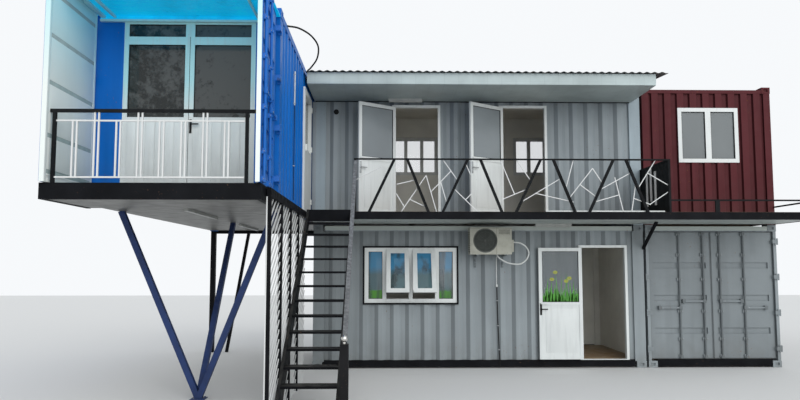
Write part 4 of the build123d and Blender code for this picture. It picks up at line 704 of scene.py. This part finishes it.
class Piece:
    """A mesh made of solids, measured from a place in the building, which becomes one object."""

    def __init__(self, at=(0, 0, 0), hand=1):
        self.bm = bmesh.new()
        self.at = at
        self.hand = hand

    def point(self, x, y, z):
        """A point measured from the piece's place, mirrored along x where its hand is -1."""
        return place(self.at[0] + self.hand * x, self.at[1] + y, self.at[2] + z)

    def box(self, x1, x2, y1, y2, z1, z2, soft=0.0):
        """A box between two corners, its edges rounded by a small radius."""
        ends = self.point(x1, y1, z1), self.point(x2, y2, z2)
        low, high = Vector(map(min, *ends)), Vector(map(max, *ends))
        made = bmesh.ops.create_cube(self.bm, size=1.0)
        middle = (low + high) / 2
        size = high - low
        for vert in made["verts"]:
            vert.co = Vector(vert.co[i] * size[i] + middle[i] for i in range(3))
        if soft:
            edges = list({edge for vert in made["verts"] for edge in vert.link_edges})
            bmesh.ops.bevel(
                self.bm, geom=edges, offset=soft, segments=2, affect="EDGES", profile=0.6
            )
        return self

    def frame(self, x1, x2, z1, z2, y1, y2, bar, soft=0.0):
        """An upright rectangular frame of four bars that lies along x."""
        self.box(x1, x1 + bar, y1, y2, z1, z2, soft)
        self.box(x2 - bar, x2, y1, y2, z1, z2, soft)
        self.box(x1 + bar, x2 - bar, y1, y2, z1, z1 + bar, soft)
        self.box(x1 + bar, x2 - bar, y1, y2, z2 - bar, z2, soft)

    def ring(self, centre, normal, up, points):
        """Verts of a closed outline, given across a plane through the centre."""
        side = up.cross(normal).normalized()
        return [self.bm.verts.new(centre + side * a + up * b) for a, b in points]

    def skin(self, rings, closed=False):
        """Faces between neighbouring rings, with caps at both ends."""
        pairs = list(zip(rings, rings[1:]))
        if closed:
            pairs.append((rings[-1], rings[0]))
        for first, second in pairs:
            count = len(first)
            for i in range(count):
                j = (i + 1) % count
                self.bm.faces.new((first[i], first[j], second[j], second[i]))
        if not closed:
            self.bm.faces.new(rings[0][::-1])
            self.bm.faces.new(rings[-1])
        return self

    def tube(self, points, radius, sides=10, closed=False):
        """A round bar or pipe along a line of points."""
        line = [self.point(*p) for p in points]
        rings = []
        up = None
        count = len(line)
        for i, centre in enumerate(line):
            ahead = line[(i + 1) % count] if closed else line[min(i + 1, count - 1)]
            behind = line[i - 1] if closed else line[max(i - 1, 0)]
            along = (ahead - behind).normalized()
            up = square_to(along) if up is None else (up - along * up.dot(along)).normalized()
            rings.append(self.ring(centre, along, up, ellipse(radius, sides)))
        return self.skin(rings, closed)

    def turned(self, x, y, z, profile, axis=(0, 0, 1), sides=32):
        """A turned form: (radius, height) pairs about an axis that starts at a point."""
        start = self.point(x, y, z)
        along = Vector(axis).normalized()
        up = square_to(along)
        return self.skin([
            self.ring(start + along * height, along, up, ellipse(radius, sides))
            for radius, height in profile
        ])

    def bolt(self, x, y, z, radius, tall, axis=FORWARD):
        """A six sided bolt head with a chamfer."""
        profile = [(radius, -0.002), (radius, tall * 0.7), (radius * 0.8, tall)]
        return self.turned(x, y, z, profile, axis, sides=6)

    def sheet(self, corners, thick, axis):
        """A flat plate from an outline of points, thickened along an axis."""
        step = Vector(axis) * thick
        first = [self.bm.verts.new(self.point(*p)) for p in corners]
        second = [self.bm.verts.new(self.point(*p) + step) for p in corners]
        return self.skin([first, second])

    def turn(self, angle):
        """Turn everything made so far about the upright axis at its place, in degrees."""
        centre = self.point(0, 0, 0)
        spin = Matrix.Rotation(math.radians(angle), 4, "Z")
        for vert in self.bm.verts:
            vert.co = centre + spin @ (vert.co - centre)

    def finish(self, name, look, slot, body="cabin", smooth=35):
        bmesh.ops.recalc_face_normals(self.bm, faces=self.bm.faces)
        mesh = bpy.data.meshes.new(name)
        self.bm.to_mesh(mesh)
        self.bm.free()
        piece = bpy.data.objects.new(name, mesh)
        bpy.context.scene.collection.objects.link(piece)
        mesh.materials.append(looks[look])
        if smooth:
            mesh.shade_smooth()
            mesh.set_sharp_from_angle(angle=math.radians(smooth))
        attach(piece, body)
        return piece


BALL = 0.041
NECK_WIDE, NECK_TALL = 0.0165, 0.026
NEWEL = (0.845, -4.169, 0.915)
BALL_FOOT, BALL_TOP, BALL_RINGS = -60, 86, 17


def newel_ball():
    """A turned ball on a short neck, on top of the newel post."""
    profile = [(NECK_WIDE, 0.0), (NECK_WIDE, NECK_TALL)]
    for i in range(1, BALL_RINGS + 1):
        angle = math.radians(BALL_FOOT + (BALL_TOP - BALL_FOOT) * i / BALL_RINGS)
        rise = math.sin(angle) - math.sin(math.radians(BALL_FOOT))
        profile.append((BALL * math.cos(angle), NECK_TALL + BALL * rise))
    piece = Piece().turned(*NEWEL, profile, sides=40)
    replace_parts(piece.finish("newel_ball_turned", "steel", "bright_steel"), "newel_ball")


SHEET_LEFT, SHEET_RIGHT = -0.020, UNIT_LONG + 0.020
SHEET_FRONT, SHEET_BACK = -1.240, 0.250
FASCIA_BACK, SHEET_AT_FASCIA = -1.180, 5.074
SHEET_SLOPE = 0.1
WAVE_PITCH, WAVE_TALL, WAVE_STEPS = 0.128, 0.020, 8
SHEET_THICK = 0.006
SCREW_LINES = (0.031, 0.225)
ROOF_SCREW = [(0.013, 0), (0.011, 0.003), (0.006, 0.003), (0.005, 0.008)]


def awning_sheet():
    """The porch roof's corrugated sheet with smooth waves, and its screws."""
    angle = math.atan(SHEET_SLOPE)
    normal = Vector((0, -math.sin(angle), math.cos(angle)))
    along = Vector((0, math.cos(angle), math.sin(angle)))
    run = along * (SHEET_BACK - SHEET_FRONT) / math.cos(angle)
    low = SHEET_AT_FASCIA + (SHEET_FRONT - FASCIA_BACK) * SHEET_SLOPE
    waves = int((SHEET_RIGHT - SHEET_LEFT) // WAVE_PITCH)
    margin = (SHEET_RIGHT - SHEET_LEFT - waves * WAVE_PITCH) / 2
    stations = [(SHEET_LEFT, 0.0)]
    for i in range(waves * WAVE_STEPS + 1):
        rise = WAVE_TALL * (1 - math.cos(2 * math.pi * i / WAVE_STEPS)) / 2
        stations.append((SHEET_LEFT + margin + i * WAVE_PITCH / WAVE_STEPS, rise))
    stations.append((SHEET_RIGHT, 0.0))
    piece = Piece()
    rings = []
    for x, rise in stations:
        under = place(x, SHEET_FRONT, low) + normal * rise
        over = under + normal * SHEET_THICK
        rings.append([piece.bm.verts.new(p) for p in (under, under + run, over + run, over)])
    piece.skin(rings)
    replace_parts(piece.finish("awning_sheet_waved", "roof", "roof_sheet", smooth=50), "awning_sheet")
    screws = Piece()
    for y in SCREW_LINES:
        crest = low + (y - SHEET_FRONT) * SHEET_SLOPE + (WAVE_TALL + SHEET_THICK) / math.cos(angle)
        for i in range(1, waves, 3):
            x = SHEET_LEFT + margin + (i + 0.5) * WAVE_PITCH
            screws.turned(x, y, crest - 0.001, ROOF_SCREW, normal, 10)
    screws.finish("roof_screws", "zinc", "bright_steel")


SHROUD = [(0.190, 0), (0.190, 0.003), (0.182, 0.006)]
HUB = [(0.046, 0), (0.044, 0.008), (0.030, 0.012)]
# One fan blade's outline: radius in metres and turn in degrees
BLADE = ((0.040, 0), (0.110, -14), (0.172, -6), (0.178, 40), (0.120, 58), (0.045, 60))
CASING_SCREWS = ((2.83, 2.055), (3.535, 2.055), (2.83, 2.49), (3.535, 2.49), (3.30, 2.055))


def air_conditioner():
    """Fan, wire guard, seams and louvres of the outdoor unit, without any mark."""
    fan = (FAN[0], AC_FRONT, FAN[1])
    dark = Piece(fan).turned(0, 0.0305, 0, SHROUD, FORWARD, 48)
    dark.turned(0, 0.024, 0, HUB, FORWARD, 24)
    for blade in range(3):
        outline = []
        for radius, turn in BLADE:
            angle = math.radians(blade * 120 + turn)
            depth = 0.018 - 0.006 * turn / 60
            outline.append((radius * math.cos(angle), depth, radius * math.sin(angle)))
        dark.sheet(outline, 0.003, FORWARD)
    dark.finish("fan_and_shroud", "fan", "rubber_black")
    guard = Piece(fan)
    for i in range(12):
        circle = ellipse(0.020 + i * 0.0173, 40)
        guard.tube([(a, -0.004, b) for a, b in circle], 0.0017, 6, closed=True)
    for a, b in ellipse(1.0, 16):
        guard.tube([(a * r, -0.0015, b * r) for r in (0.018, 0.211)], 0.0020, 6)
    guard.finish("fan_guard", "fan", "rubber_black")
    face = (0, AC_FRONT, 0)
    trim = Piece(face)
    trim.box(3.2795, 3.2825, -0.0006, 0.002, 2.041, 2.514)
    trim.box(2.814, 3.551, -0.0006, 0.002, 2.497, 2.4995)
    for i in range(7):
        trim.box(3.32, 3.52, -0.0008, 0.002, 2.40 + i * 0.0125, 2.404 + i * 0.0125)
    for i in range(11):
        trim.box(2.8105, 2.813, 0.04, 0.25, 2.09 + i * 0.034, 2.100 + i * 0.034)
    trim.finish("casing_seams", "rubber", "rubber_black")
    small = Piece(face)
    for x, z in CASING_SCREWS:
        small.bolt(x, 0, z, 0.006, 0.003)
    for z in (2.12, 2.265):
        small.bolt(3.598, 0.15, z, 0.006, 0.003, (1, 0, 0))
    for left in (2.932, 3.432):
        small.box(left - 0.008, left + 0.038, 0.01, 0.055, 2.030, 2.0395, 0.003)
    small.finish("casing_screws", "zinc", "bright_steel")


# Lines of the bent pipes: the cooling line across and up, then the conduit over the roof
HOSE_Y = -0.24
HOSE = (
    (3.590, 2.262), (3.676, 2.254), (3.748, 2.239), (3.837, 2.177), (3.886, 2.069),
    (3.843, 1.953), (3.752, 1.881), (3.658, 1.867), (3.509, 1.890), (3.400, 1.945),
    (3.335, 1.998), (3.312, 2.042),
)
ARCH = (
    (-0.075, -3.14, 5.152), (-0.040, -3.06, 5.160), (0.072, -2.75, 5.245), (0.205, -2.40, 5.262),
    (0.268, -2.00, 5.238), (0.216, -1.65, 5.159), (0.086, -1.35, 5.103), (0.020, -1.245, 5.082),
    (0.010, -1.215, 5.078),
)
DRAIN_Y = -0.001
DRAIN = ((3.341, 1.456), (3.350, 1.0), (3.363, 0.60), (3.386, 0.03))
COLLAR = [(0.015, 0), (0.017, 0.004), (0.017, 0.040), (0.015, 0.044)]
CONDUIT_Y = -2.35


def pipes():
    """The cooling line's bend, the drain pipe down the wall, and conduits of the blue container."""
    hose = Piece().tube(curve([(x, HOSE_Y, z) for x, z in HOSE]), 0.0125, 12)
    hose.turned(3.341, DRAIN_Y, 1.456, COLLAR, sides=20)
    riser = [(3.339, DRAIN_Y, z) for z in (1.50, 1.70, 1.90)]
    hose.tube(riser + [(3.338, -0.03, 1.97), (3.338, -0.13, 2.042)], 0.0075)
    hose.finish("cooling_line", "pipe", "ac_casing")
    line = Piece().tube(curve([(x, DRAIN_Y, z) for x, z in DRAIN]), 0.0095, 12)
    line.tube([(-0.036, CONDUIT_Y, z) for z in (2.80, 3.5, 4.225)], 0.006, 8)
    line.finish("drain_pipe", "rubber", "rubber_black")
    clips = Piece()
    for x, z in ((3.339, 1.75), (3.345, 1.20), (3.358, 0.75), (3.375, 0.32)):
        clips.box(x - 0.016, x + 0.016, -0.013, 0.046, z, z + 0.012, 0.002)
    for z in (3.30, 4.24, 4.68):
        clips.box(-0.082, -0.021, -2.366, -2.334, z, z + 0.012, 0.002)
    clips.finish("pipe_clips", "zinc", "bright_steel")
    conduit = Piece().tube([(-0.034, CONDUIT_Y, z) for z in (4.215, 4.5, 4.73)], 0.0095, 12)
    conduit.finish("wall_conduit", "pipe", "ac_casing")
    arch = Piece().tube(curve(ARCH), 0.013, 12)
    arch.box(-0.108, -0.044, -3.17, -3.11, 5.140, 5.168, 0.004)
    arch.finish("roof_conduit", "rubber", "rubber_black")


LEAF_HIGH = STOREY + 2.467
LEAF_LOW = STOREY + 0.151
BALCONY = (0, BLUE_FRONT, 0)
LEAF_FACE = (BLUE_LEFT + 0.106, BLUE_FRONT, 0)
LINING_NEAR, LINING_FAR, LINING_FRAME, LINING_REST = -1.238, -0.088, 0.045, 0.047
LINING_JOINTS = (2.860, 3.260, 3.850, 4.380, 4.870)
GLAZED_LEFT = BLUE_LEFT + 0.417
GLAZED_RIGHT = BLUE_RIGHT - 0.325
GLAZED_FACE = BLUE_FRONT + 0.020
GLAZED_FOOT = STOREY + FLOOR_RISE


def balcony_details():
    """Bearers under the balcony's roof, lining of the left leaf, boards and handle of its doors."""
    bearers = Piece(BALCONY)
    for x1, x2 in ((-2.345, -2.290), (-2.185, -2.155), (-0.345, -0.315)):
        bearers.box(x1, x2, -1.150, -0.012, LEAF_HIGH - 0.034, LEAF_HIGH, 0.003)
    bearers.box(-2.290, -0.165, -1.160, -1.125, LEAF_HIGH - 0.030, LEAF_HIGH, 0.003)
    bearers.box(-2.360, -0.160, -0.030, 0.021, 4.980, 5.008, 0.004)
    upturn = Piece(BALCONY).box(-2.362, -0.158, -0.012, -0.001, 5.006, 5.0585, 0.002)
    upturn.finish("roof_sheet_upturn", "cyan", "cyan_sheet")
    bearers.finish("roof_bearers", "white_balcony", "white_frame")

    panels = Piece(LEAF_FACE)
    ends = (LEAF_LOW + 0.05, *LINING_JOINTS, LEAF_HIGH - 0.05)
    near, far = LINING_NEAR + LINING_REST, LINING_FAR - LINING_REST
    for low, high in zip(ends, ends[1:]):
        panels.box(0, 0.004, near, far, low + 0.025, high - 0.025, 0.0015)
    left, right = LINING_NEAR + LINING_FRAME, LINING_FAR - LINING_FRAME
    foot, head = LEAF_LOW + LINING_FRAME, LEAF_HIGH - LINING_FRAME
    for row in (
        (LINING_NEAR, left, LEAF_LOW, LEAF_HIGH), (right, LINING_FAR, LEAF_LOW, LEAF_HIGH),
        (left, right, LEAF_LOW, foot), (left, right, head, LEAF_HIGH),
    ):
        panels.box(0, 0.005, *row, 0.0015)
    panels.finish("leaf_lining_panels", "leaf_lining", "white_frame")
    # Strips in a darker tint along the lining's joints: painted shadow in the grooves.
    seams = Piece(LEAF_FACE)
    for z in LINING_JOINTS:
        seams.box(-0.001, 0.0012, near, far, z - 0.024, z + 0.024, 0.0005)
    seams.finish("leaf_lining_groove_shadows", "groove", "white_frame")

    at = ((GLAZED_LEFT + GLAZED_RIGHT) / 2, GLAZED_FACE, 0)
    half = GLAZED_RIGHT - at[0]
    low, high = GLAZED_FOOT, GLAZED_FOOT + 1.0
    boards = Piece(at)
    seals = Piece(at)
    for x1, x2 in ((-half, 0), (0, half)):
        a, b = x1 + 0.060, x2 - 0.060
        step = (b - a) / 6
        for i in range(6):
            left, right = a + i * step + 0.003, a + (i + 1) * step - 0.003
            boards.box(left, right, -0.006, 0.001, low + 0.09, high - 0.05, 0.002)
        for z1, z2 in ((high, LEAF_HIGH - 0.368), (LEAF_HIGH - 0.264, LEAF_HIGH - 0.098)):
            seals.frame(a, b, z1, z2, 0.014, 0.027, 0.005)
    boards.finish("balcony_door_boards", "white", "white_frame")
    seals.box(-0.003, 0.003, -0.0012, 0.002, low, LEAF_HIGH - 0.264)
    seals.finish("balcony_glass_seals", "rubber", "rubber_black")
    handle = Piece(at).box(0.014, 0.044, -0.008, 0.001, 3.527, 3.709, 0.003)
    handle.tube([(0.029, 0, 3.64), (0.029, -0.045, 3.64), (0.14, -0.045, 3.64)], 0.009)
    handle.finish("balcony_door_handle", "rubber", "rubber_black")


# Bars of a cargo leaf: distance from its free edge, and the level of the handle on each
CARGO_BARS = ((0.155, 1.180), (0.600, 1.060))
CARGO_GUIDES = (0.170, 0.480, 0.980, 1.560, 2.010, 2.390)
PIN_OUT, PIN_Y = 0.008, -0.014
ROD_Y, LEAF_SHUT_FACE = 0.040, 0.064
ROD = [(0.0178, 0), (0.0178, 2.300)]


def cargo_fittings(name, hand, corner, opened, body, look, slot):
    """Round locking bars, cams, bolts, handle catches and seals over one cargo leaf."""
    hinge = (corner[0] - hand * PIN_OUT, corner[1] + PIN_Y, corner[2])
    bars, bolts, seals = (Piece(hinge, hand) for _ in range(3))
    for offset, low in CARGO_BARS:
        x = UNIT_WIDE / 2 + PIN_OUT - offset
        bars.turned(x, ROD_Y, 0.159, ROD, sides=20)
        for z in (0.160, 2.414):
            bars.box(x - 0.030, x + 0.030, ROD_Y - 0.022, ROD_Y + 0.022, z, z + 0.045, 0.005)
        for z in CARGO_GUIDES:
            near, far = ROD_Y - 0.023, ROD_Y + 0.004
            bars.box(x - 0.026, x + 0.026, near, far, z + 0.012, z + 0.048, 0.006)
            for side in (-0.034, 0.034):
                bolts.bolt(x + side, ROD_Y, z + 0.030, 0.0085, 0.006)
        catch = x - 0.410
        near, far = ROD_Y - 0.031, LEAF_SHUT_FACE
        bars.box(catch, catch + 0.060, near, far, low - 0.020, low + 0.050, 0.004)
        near, far = ROD_Y - 0.030, ROD_Y + 0.010
        bars.box(x - 0.028, x + 0.030, near, far, low - 0.018, low + 0.048, 0.005)
        bolts.bolt(x - 0.06, ROD_Y - 0.025, low + 0.015, 0.009, 0.006)
    near, far = LEAF_SHUT_FACE - 0.004, LEAF_SHUT_FACE + 0.001
    seals.frame(0.076, 1.222, 0.153, 2.465, near, far, 0.014, 0.001)
    for piece, part, dress, material in (
        (bars, "lock_bars", look, slot),
        (bolts, "guide_bolts", "zinc", "bright_steel"),
        (seals, "leaf_seals", look, slot),
    ):
        piece.turn(opened)
        piece.finish(name + "_" + part, dress, material, body)


FILM_THICK = 0.0006
BLOOM = 0.020
INWARD = (0, 1, 0)


def turf(piece, x1, x2, y, z, start):
    """A band of green with an uneven top, along the foot of a pane."""
    top = []
    for i in range(30, -1, -1):
        x = x1 + (x2 - x1) * i / 30
        wave = 0.025 * math.sin((start + x) * 13) + 0.008 * math.sin((start + x) * 47)
        top.append((x, y, z + 0.115 + wave))
    piece.sheet([(x1, y, z), (x2, y, z)] + top, 0.0005, INWARD)


def grass(piece, flowers, x1, x2, y, z, count, tall):
    """Thin printed blades, and blooms on every other blade where flowers are given."""
    for i in range(count):
        x = x1 + (x2 - x1) * (i + 0.5) / count + random.uniform(-0.006, 0.006)
        height = tall * random.uniform(0.45, 1.0)
        lean = random.uniform(-0.05, 0.05)
        wide = random.uniform(0.005, 0.010)
        outline = [
            (x - wide, 0), (x + wide, 0), (x + wide * 0.8 + lean * 0.4, height * 0.6),
            (x + lean, height), (x - wide * 0.8 + lean * 0.4, height * 0.6),
        ]
        outline = [(min(max(a, x1), x2), y, z + c) for a, c in outline]
        piece.sheet(outline, FILM_THICK, INWARD)
        if flowers and i % 2:
            cx = min(max(x + lean, x1 + 0.03), x2 - 0.03)
            for petal in range(6):
                turn = petal * math.pi / 3
                px, pz = cx + 0.026 * math.cos(turn), z + height + 0.020 * math.sin(turn)
                layer = y + 0.0007 + petal * 0.00012
                bloom = [(px + a, layer, pz + b) for a, b in ellipse(BLOOM, 10, 0.6)]
                flowers.sheet(bloom, FILM_THICK, INWARD)


# A glazed leaf: its hinge axis, and its pane's edges from the hinge and from its foot
DOOR_Y = -0.037
PANE_LEFT, PANE_RIGHT, PANE_LOW, PANE_HIGH = 0.067, 0.733, 1.039, 1.958
HANDLE_IN = 0.764
ROSE = [(0.016, -0.001), (0.016, 0.006), (0.012, 0.008)]
LOCK = [(0.009, -0.001), (0.009, 0.004), (0.007, 0.005)]


def door_fittings(name, hinge_x, foot, opened, grip, body="cabin", film=False, plate="rubber"):
    """Handle, lock, glass seals and a raised field over one glazed leaf, and a film on one."""
    at = (hinge_x, DOOR_Y, foot)
    x, z = HANDLE_IN, grip
    handle = Piece(at)
    handle.box(x - 0.019, x + 0.019, 0.0012, 0.0528, z - 0.106, z + 0.106, 0.003)
    for lever, face, away in ((-0.025, 0.002, -1), (0.079, 0.052, 1)):
        handle.tube([(x, face, z), (x, lever, z), (x - 0.119, lever, z)], 0.0095, 12)
        handle.turned(x, face, z, ROSE, (0, away, 0), 20)
        handle.turned(x, face, z - 0.07, LOCK, (0, away, 0), 16)
    seals = Piece(at)
    for y1, y2 in ((0.010, 0.0238), (0.0302, 0.044)):
        seals.frame(PANE_LEFT, PANE_RIGHT, PANE_LOW, PANE_HIGH, y1, y2, 0.006)
    field = Piece(at)
    field.box(PANE_LEFT + 0.055, PANE_RIGHT - 0.055, 0.012, 0.042, 0.135, 0.920, 0.004)
    made = [
        (seals, "_glass_seals", "rubber", "rubber_black", 35),
        (handle, "_handle", plate, "bright_steel", 35),
        (field, "_panel_field", "white", "white_frame", 35),
    ]
    if film:
        blades = Piece(at)
        flowers = Piece(at)
        left, right, ground = PANE_LEFT + 0.008, PANE_RIGHT - 0.008, PANE_LOW + 0.007
        turf(blades, left, right, 0.0302, ground, hinge_x)
        grass(blades, None, left, right, 0.0302, ground, 96, 0.27)
        grass(blades, flowers, PANE_LEFT + 0.06, PANE_RIGHT - 0.06, 0.0309, ground, 9, 0.58)
        made.append((blades, "_green_film", "green", "glass", 0))
        made.append((flowers, "_pale_film", "petal", "glass", 0))
    for piece, part, look, slot, smooth in made:
        piece.turn(opened)
        piece.finish(name + part, look, slot, body, smooth)


STAIR_RISERS = 14
TREAD_RUN = 0.228
PLANKS, PLANK_PITCH, PLANK_WIDE = 8, 0.148, 0.142
STRUT_FOOT = (-1.255, -2.7, 0)


def deck_and_stair():
    """Edge strip, boards, tread nosings, stringer bolts, screen edge, sill and foot plate."""
    deck = (0, DECK_FRONT, DECK_TOP)
    strip = Piece(deck).box(3.975, 5.963, 0.040, 0.052, 0, 0.024, 0.002)
    strip.finish("deck_edge_strip", "pipe", "white_bar")
    boards = Piece(deck)
    for i in range(PLANKS):
        y = 0.056 + i * PLANK_PITCH
        boards.box(0.055, 8.475, y, y + PLANK_WIDE, -0.001, 0.006, 0.002)
    boards.finish("deck_planks", "floor", "floor_board")
    nosings = Piece(deck)
    bolts = Piece(deck)
    for i in range(STAIR_RISERS - 1, 0, -1):
        y, z = -i * TREAD_RUN, -i * DECK_TOP / STAIR_RISERS
        nosings.box(0.072, 0.743, y - 0.003, y + 0.030, z - 0.028, z + 0.003, 0.002)
        for x, side in ((0.785, 1), (0.030, -1)):
            bolts.bolt(x, y + 0.07, z - 0.013, 0.010, 0.007, (side, 0, 0))
    nosings.finish("tread_nosings", "black", "black_paint")
    bolts.finish("stringer_bolts", "zinc", "bright_steel")
    edge = Piece().box(-0.0285, -0.0135, -4.536, -4.5285, 0.0, 2.618, 0.001)
    edge.finish("screen_edge_strip", "bars", "white_bar")
    sill = Piece()
    near, far = BLUE_BACK - 0.098, BLUE_BACK - 0.004
    sill.box(BLUE_LEFT + 0.100, BLUE_RIGHT - 0.100, near, far, 2.540, 2.602, 0.003)
    for x in (BLUE_LEFT + 0.16, BLUE_RIGHT - 0.16):
        sill.bolt(x, near, 2.571, 0.014, 0.010)
    sill.finish("rear_sill_bar", "black", "black_paint")
    foot = Piece(STRUT_FOOT).box(-0.1, 0.1, -0.1, 0.1, 0, 0.012, 0.003)
    for x in (-0.07, 0.07):
        for y in (-0.07, 0.07):
            foot.bolt(x, y, 0.012, 0.012, 0.010, (0, 0, 1))
    foot.finish("strut_foot_plate", "navy", "navy_paint")


SCREEN_POSTS = (-4.530, -3.700, -2.920, -2.140)
SCREEN_BEAM_LOW = 2.620
SLAT_PITCH, SLAT_TALL, SLAT_THICK, SLAT_SLOPE = 0.12, 0.018, 0.012, 0.62


def screen_slats():
    """The cut slats at the head and foot of each bay of the stair's screen."""
    piece = Piece()
    for near, far in zip(SCREEN_POSTS, SCREEN_POSTS[1:] + (DECK_FRONT,)):
        start = near + 0.050
        rise = (far - start) * SLAT_SLOPE
        count = int((SCREEN_BEAM_LOW - rise - SLAT_TALL) // SLAT_PITCH)
        for i in range(-int(rise // SLAT_PITCH) - 1, int(SCREEN_BEAM_LOW // SLAT_PITCH)):
            level = SLAT_PITCH * (i + 0.5)
            y1 = max(start, start - level / SLAT_SLOPE)
            y2 = min(far, start + (SCREEN_BEAM_LOW - SLAT_TALL - level) / SLAT_SLOPE)
            if 0 <= i < count or y2 - y1 < 0.02:
                continue
            z1, z2 = (level + (y - start) * SLAT_SLOPE for y in (y1, y2))
            outline = [(y1, z1), (y2, z2), (y2, z2 + SLAT_TALL), (y1, z1 + SLAT_TALL)]
            piece.sheet([(-SLAT_THICK / 2, y, z) for y, z in outline], SLAT_THICK, (1, 0, 0))
    piece.finish("screen_slat_ends", "bars", "white_bar")


END_BARS = ((0.315, 0.172), (0.490, 0.250), (0.680, 0.166))
TUBES = ((4.070, 4.690, -0.0675, 2.566), (1.385, 1.965, -0.1975, 4.839))
VENT_X, VENT_Z, VENT_RADIUS = 0.400, 4.680, 0.044
RED_WINDOW = (RIGHT_LEFT + 0.675, RIGHT_LEFT + 1.810, STOREY + 1.165, STOREY + 2.195)
FRAME_BAR = 0.072
RED_PANE_WIDE = (1.135 - 0.104) / 2 - FRAME_BAR


def small_fittings():
    """Vent louvres, lamp tubes, window seals, the fascia's lip and the end panel's white bars."""
    lip = Piece().box(0.001, 5.888, -1.1795, -1.1555, 4.8795, 4.9205, 0.003)
    lip.box(5.866, 5.8885, -1.155, -0.002, 4.8795, 4.8955, 0.002)
    lip.finish("fascia_lip", "fascia", "fascia_paint")
    bars = Piece()
    for depth, low in END_BARS:
        z = DECK_TOP + low
        bars.box(6.010, 6.0345, -depth - 0.034, -depth + 0.008, z - 0.002, z + 0.592, 0.004)
    bars.finish("end_panel_bars", "bars", "white_bar")
    # A black strip along the wall's top under the porch soffit: painted shadow in the joint.
    strip = Piece().box(0.02, 5.86, -0.026, -0.001, 4.868, 4.8795, 0.002)
    strip.finish("soffit_shadow_strip", "black", "black_paint")
    cover = Piece().box(-0.0355, 0.030, -0.004, -0.0004, DECK_TOP + 0.02, 4.866, 0.001)
    for z in (3.0, 3.6, 4.2, 4.7):
        cover.bolt(0.018, -0.004, z, 0.006, 0.003)
    cover.finish("gap_cover_strip", "grey_upper", "grey_paint")
    cove = Piece()
    cove.box(0.080, 5.978, 2.326, 2.3438, STOREY + 2.456, STOREY + 2.5005, 0.004)
    cove.finish("ceiling_cove", "grey", "grey_paint")
    vent = Piece()
    for i in range(6):
        z = 4.645 + i * 0.013
        half = math.sqrt(max(VENT_RADIUS ** 2 - (z + 0.003 - VENT_Z) ** 2, 0.0004))
        vent.box(VENT_X - half, VENT_X + half, -0.010, -0.004, z, z + 0.006, 0.001)
    vent.finish("vent_louvres", "rubber", "rubber_black")
    tubes = Piece()
    for x1, x2, y, z in TUBES:
        end = x2 - x1
        ends = [(0.010, -0.012), (0.013, -0.010), (0.013, end + 0.010), (0.010, end + 0.012)]
        tubes.turned(x1, y, z - 0.008, ends, (1, 0, 0), 20)
    tubes.finish("lamp_tubes", "lamp", "lamp_white")
    seals = Piece()
    left, right, low, high = RED_WINDOW
    low, high = low + FRAME_BAR, high - FRAME_BAR
    for x1 in (left + FRAME_BAR, right - FRAME_BAR - RED_PANE_WIDE):
        seals.frame(x1, x1 + RED_PANE_WIDE, low, high, 0.004, 0.020, 0.007)
    for x1, x2 in ((1.007, 1.260), (2.288, 2.541)):
        seals.frame(x1, x2, 1.242, 2.096, 0.004, 0.020, 0.007)
    seals.finish("window_seals", "rubber", "rubber_black")


# Each cargo leaf: its name, hand, hinge corner, turn from closed, body, look and slot
CARGO_LEAVES = (
    ("left_leaf", 1, (RIGHT_LEFT, 0, 0), 0, "container_leaf_left", "rod_shade_grey", "grey_paint"),
    ("right_leaf", -1, (RIGHT_RIGHT, 0, 0), 0, "container_leaf_right", "rod_shade_grey", "grey_paint"),
    ("blue_left", 1, (BLUE_LEFT, BLUE_FRONT, STOREY), -90, "cabin", "blue_fitting", "blue_paint"),
    (
        "blue_right", -1, (BLUE_RIGHT, BLUE_FRONT, STOREY), 92.5, "cabin",
        "blue_fitting", "blue_paint",
    ),
)

looks = make_materials()
make_camera()
make_light()
make_floor()
dress_nodes()
newel_ball()
awning_sheet()
air_conditioner()
pipes()
balcony_details()
for leaf in CARGO_LEAVES:
    cargo_fittings(*leaf)
door_fittings("entrance", 4.890, FLOOR_RISE, -180, 0.913, "entrance_leaf", film=True)
for door, hinge_line in (("upper_left", 1.480), ("upper_right", 3.458)):
    door_fittings(door, hinge_line, STOREY + FLOOR_RISE, -146, 0.840, plate="zinc")
deck_and_stair()
small_fittings()
screen_slats()
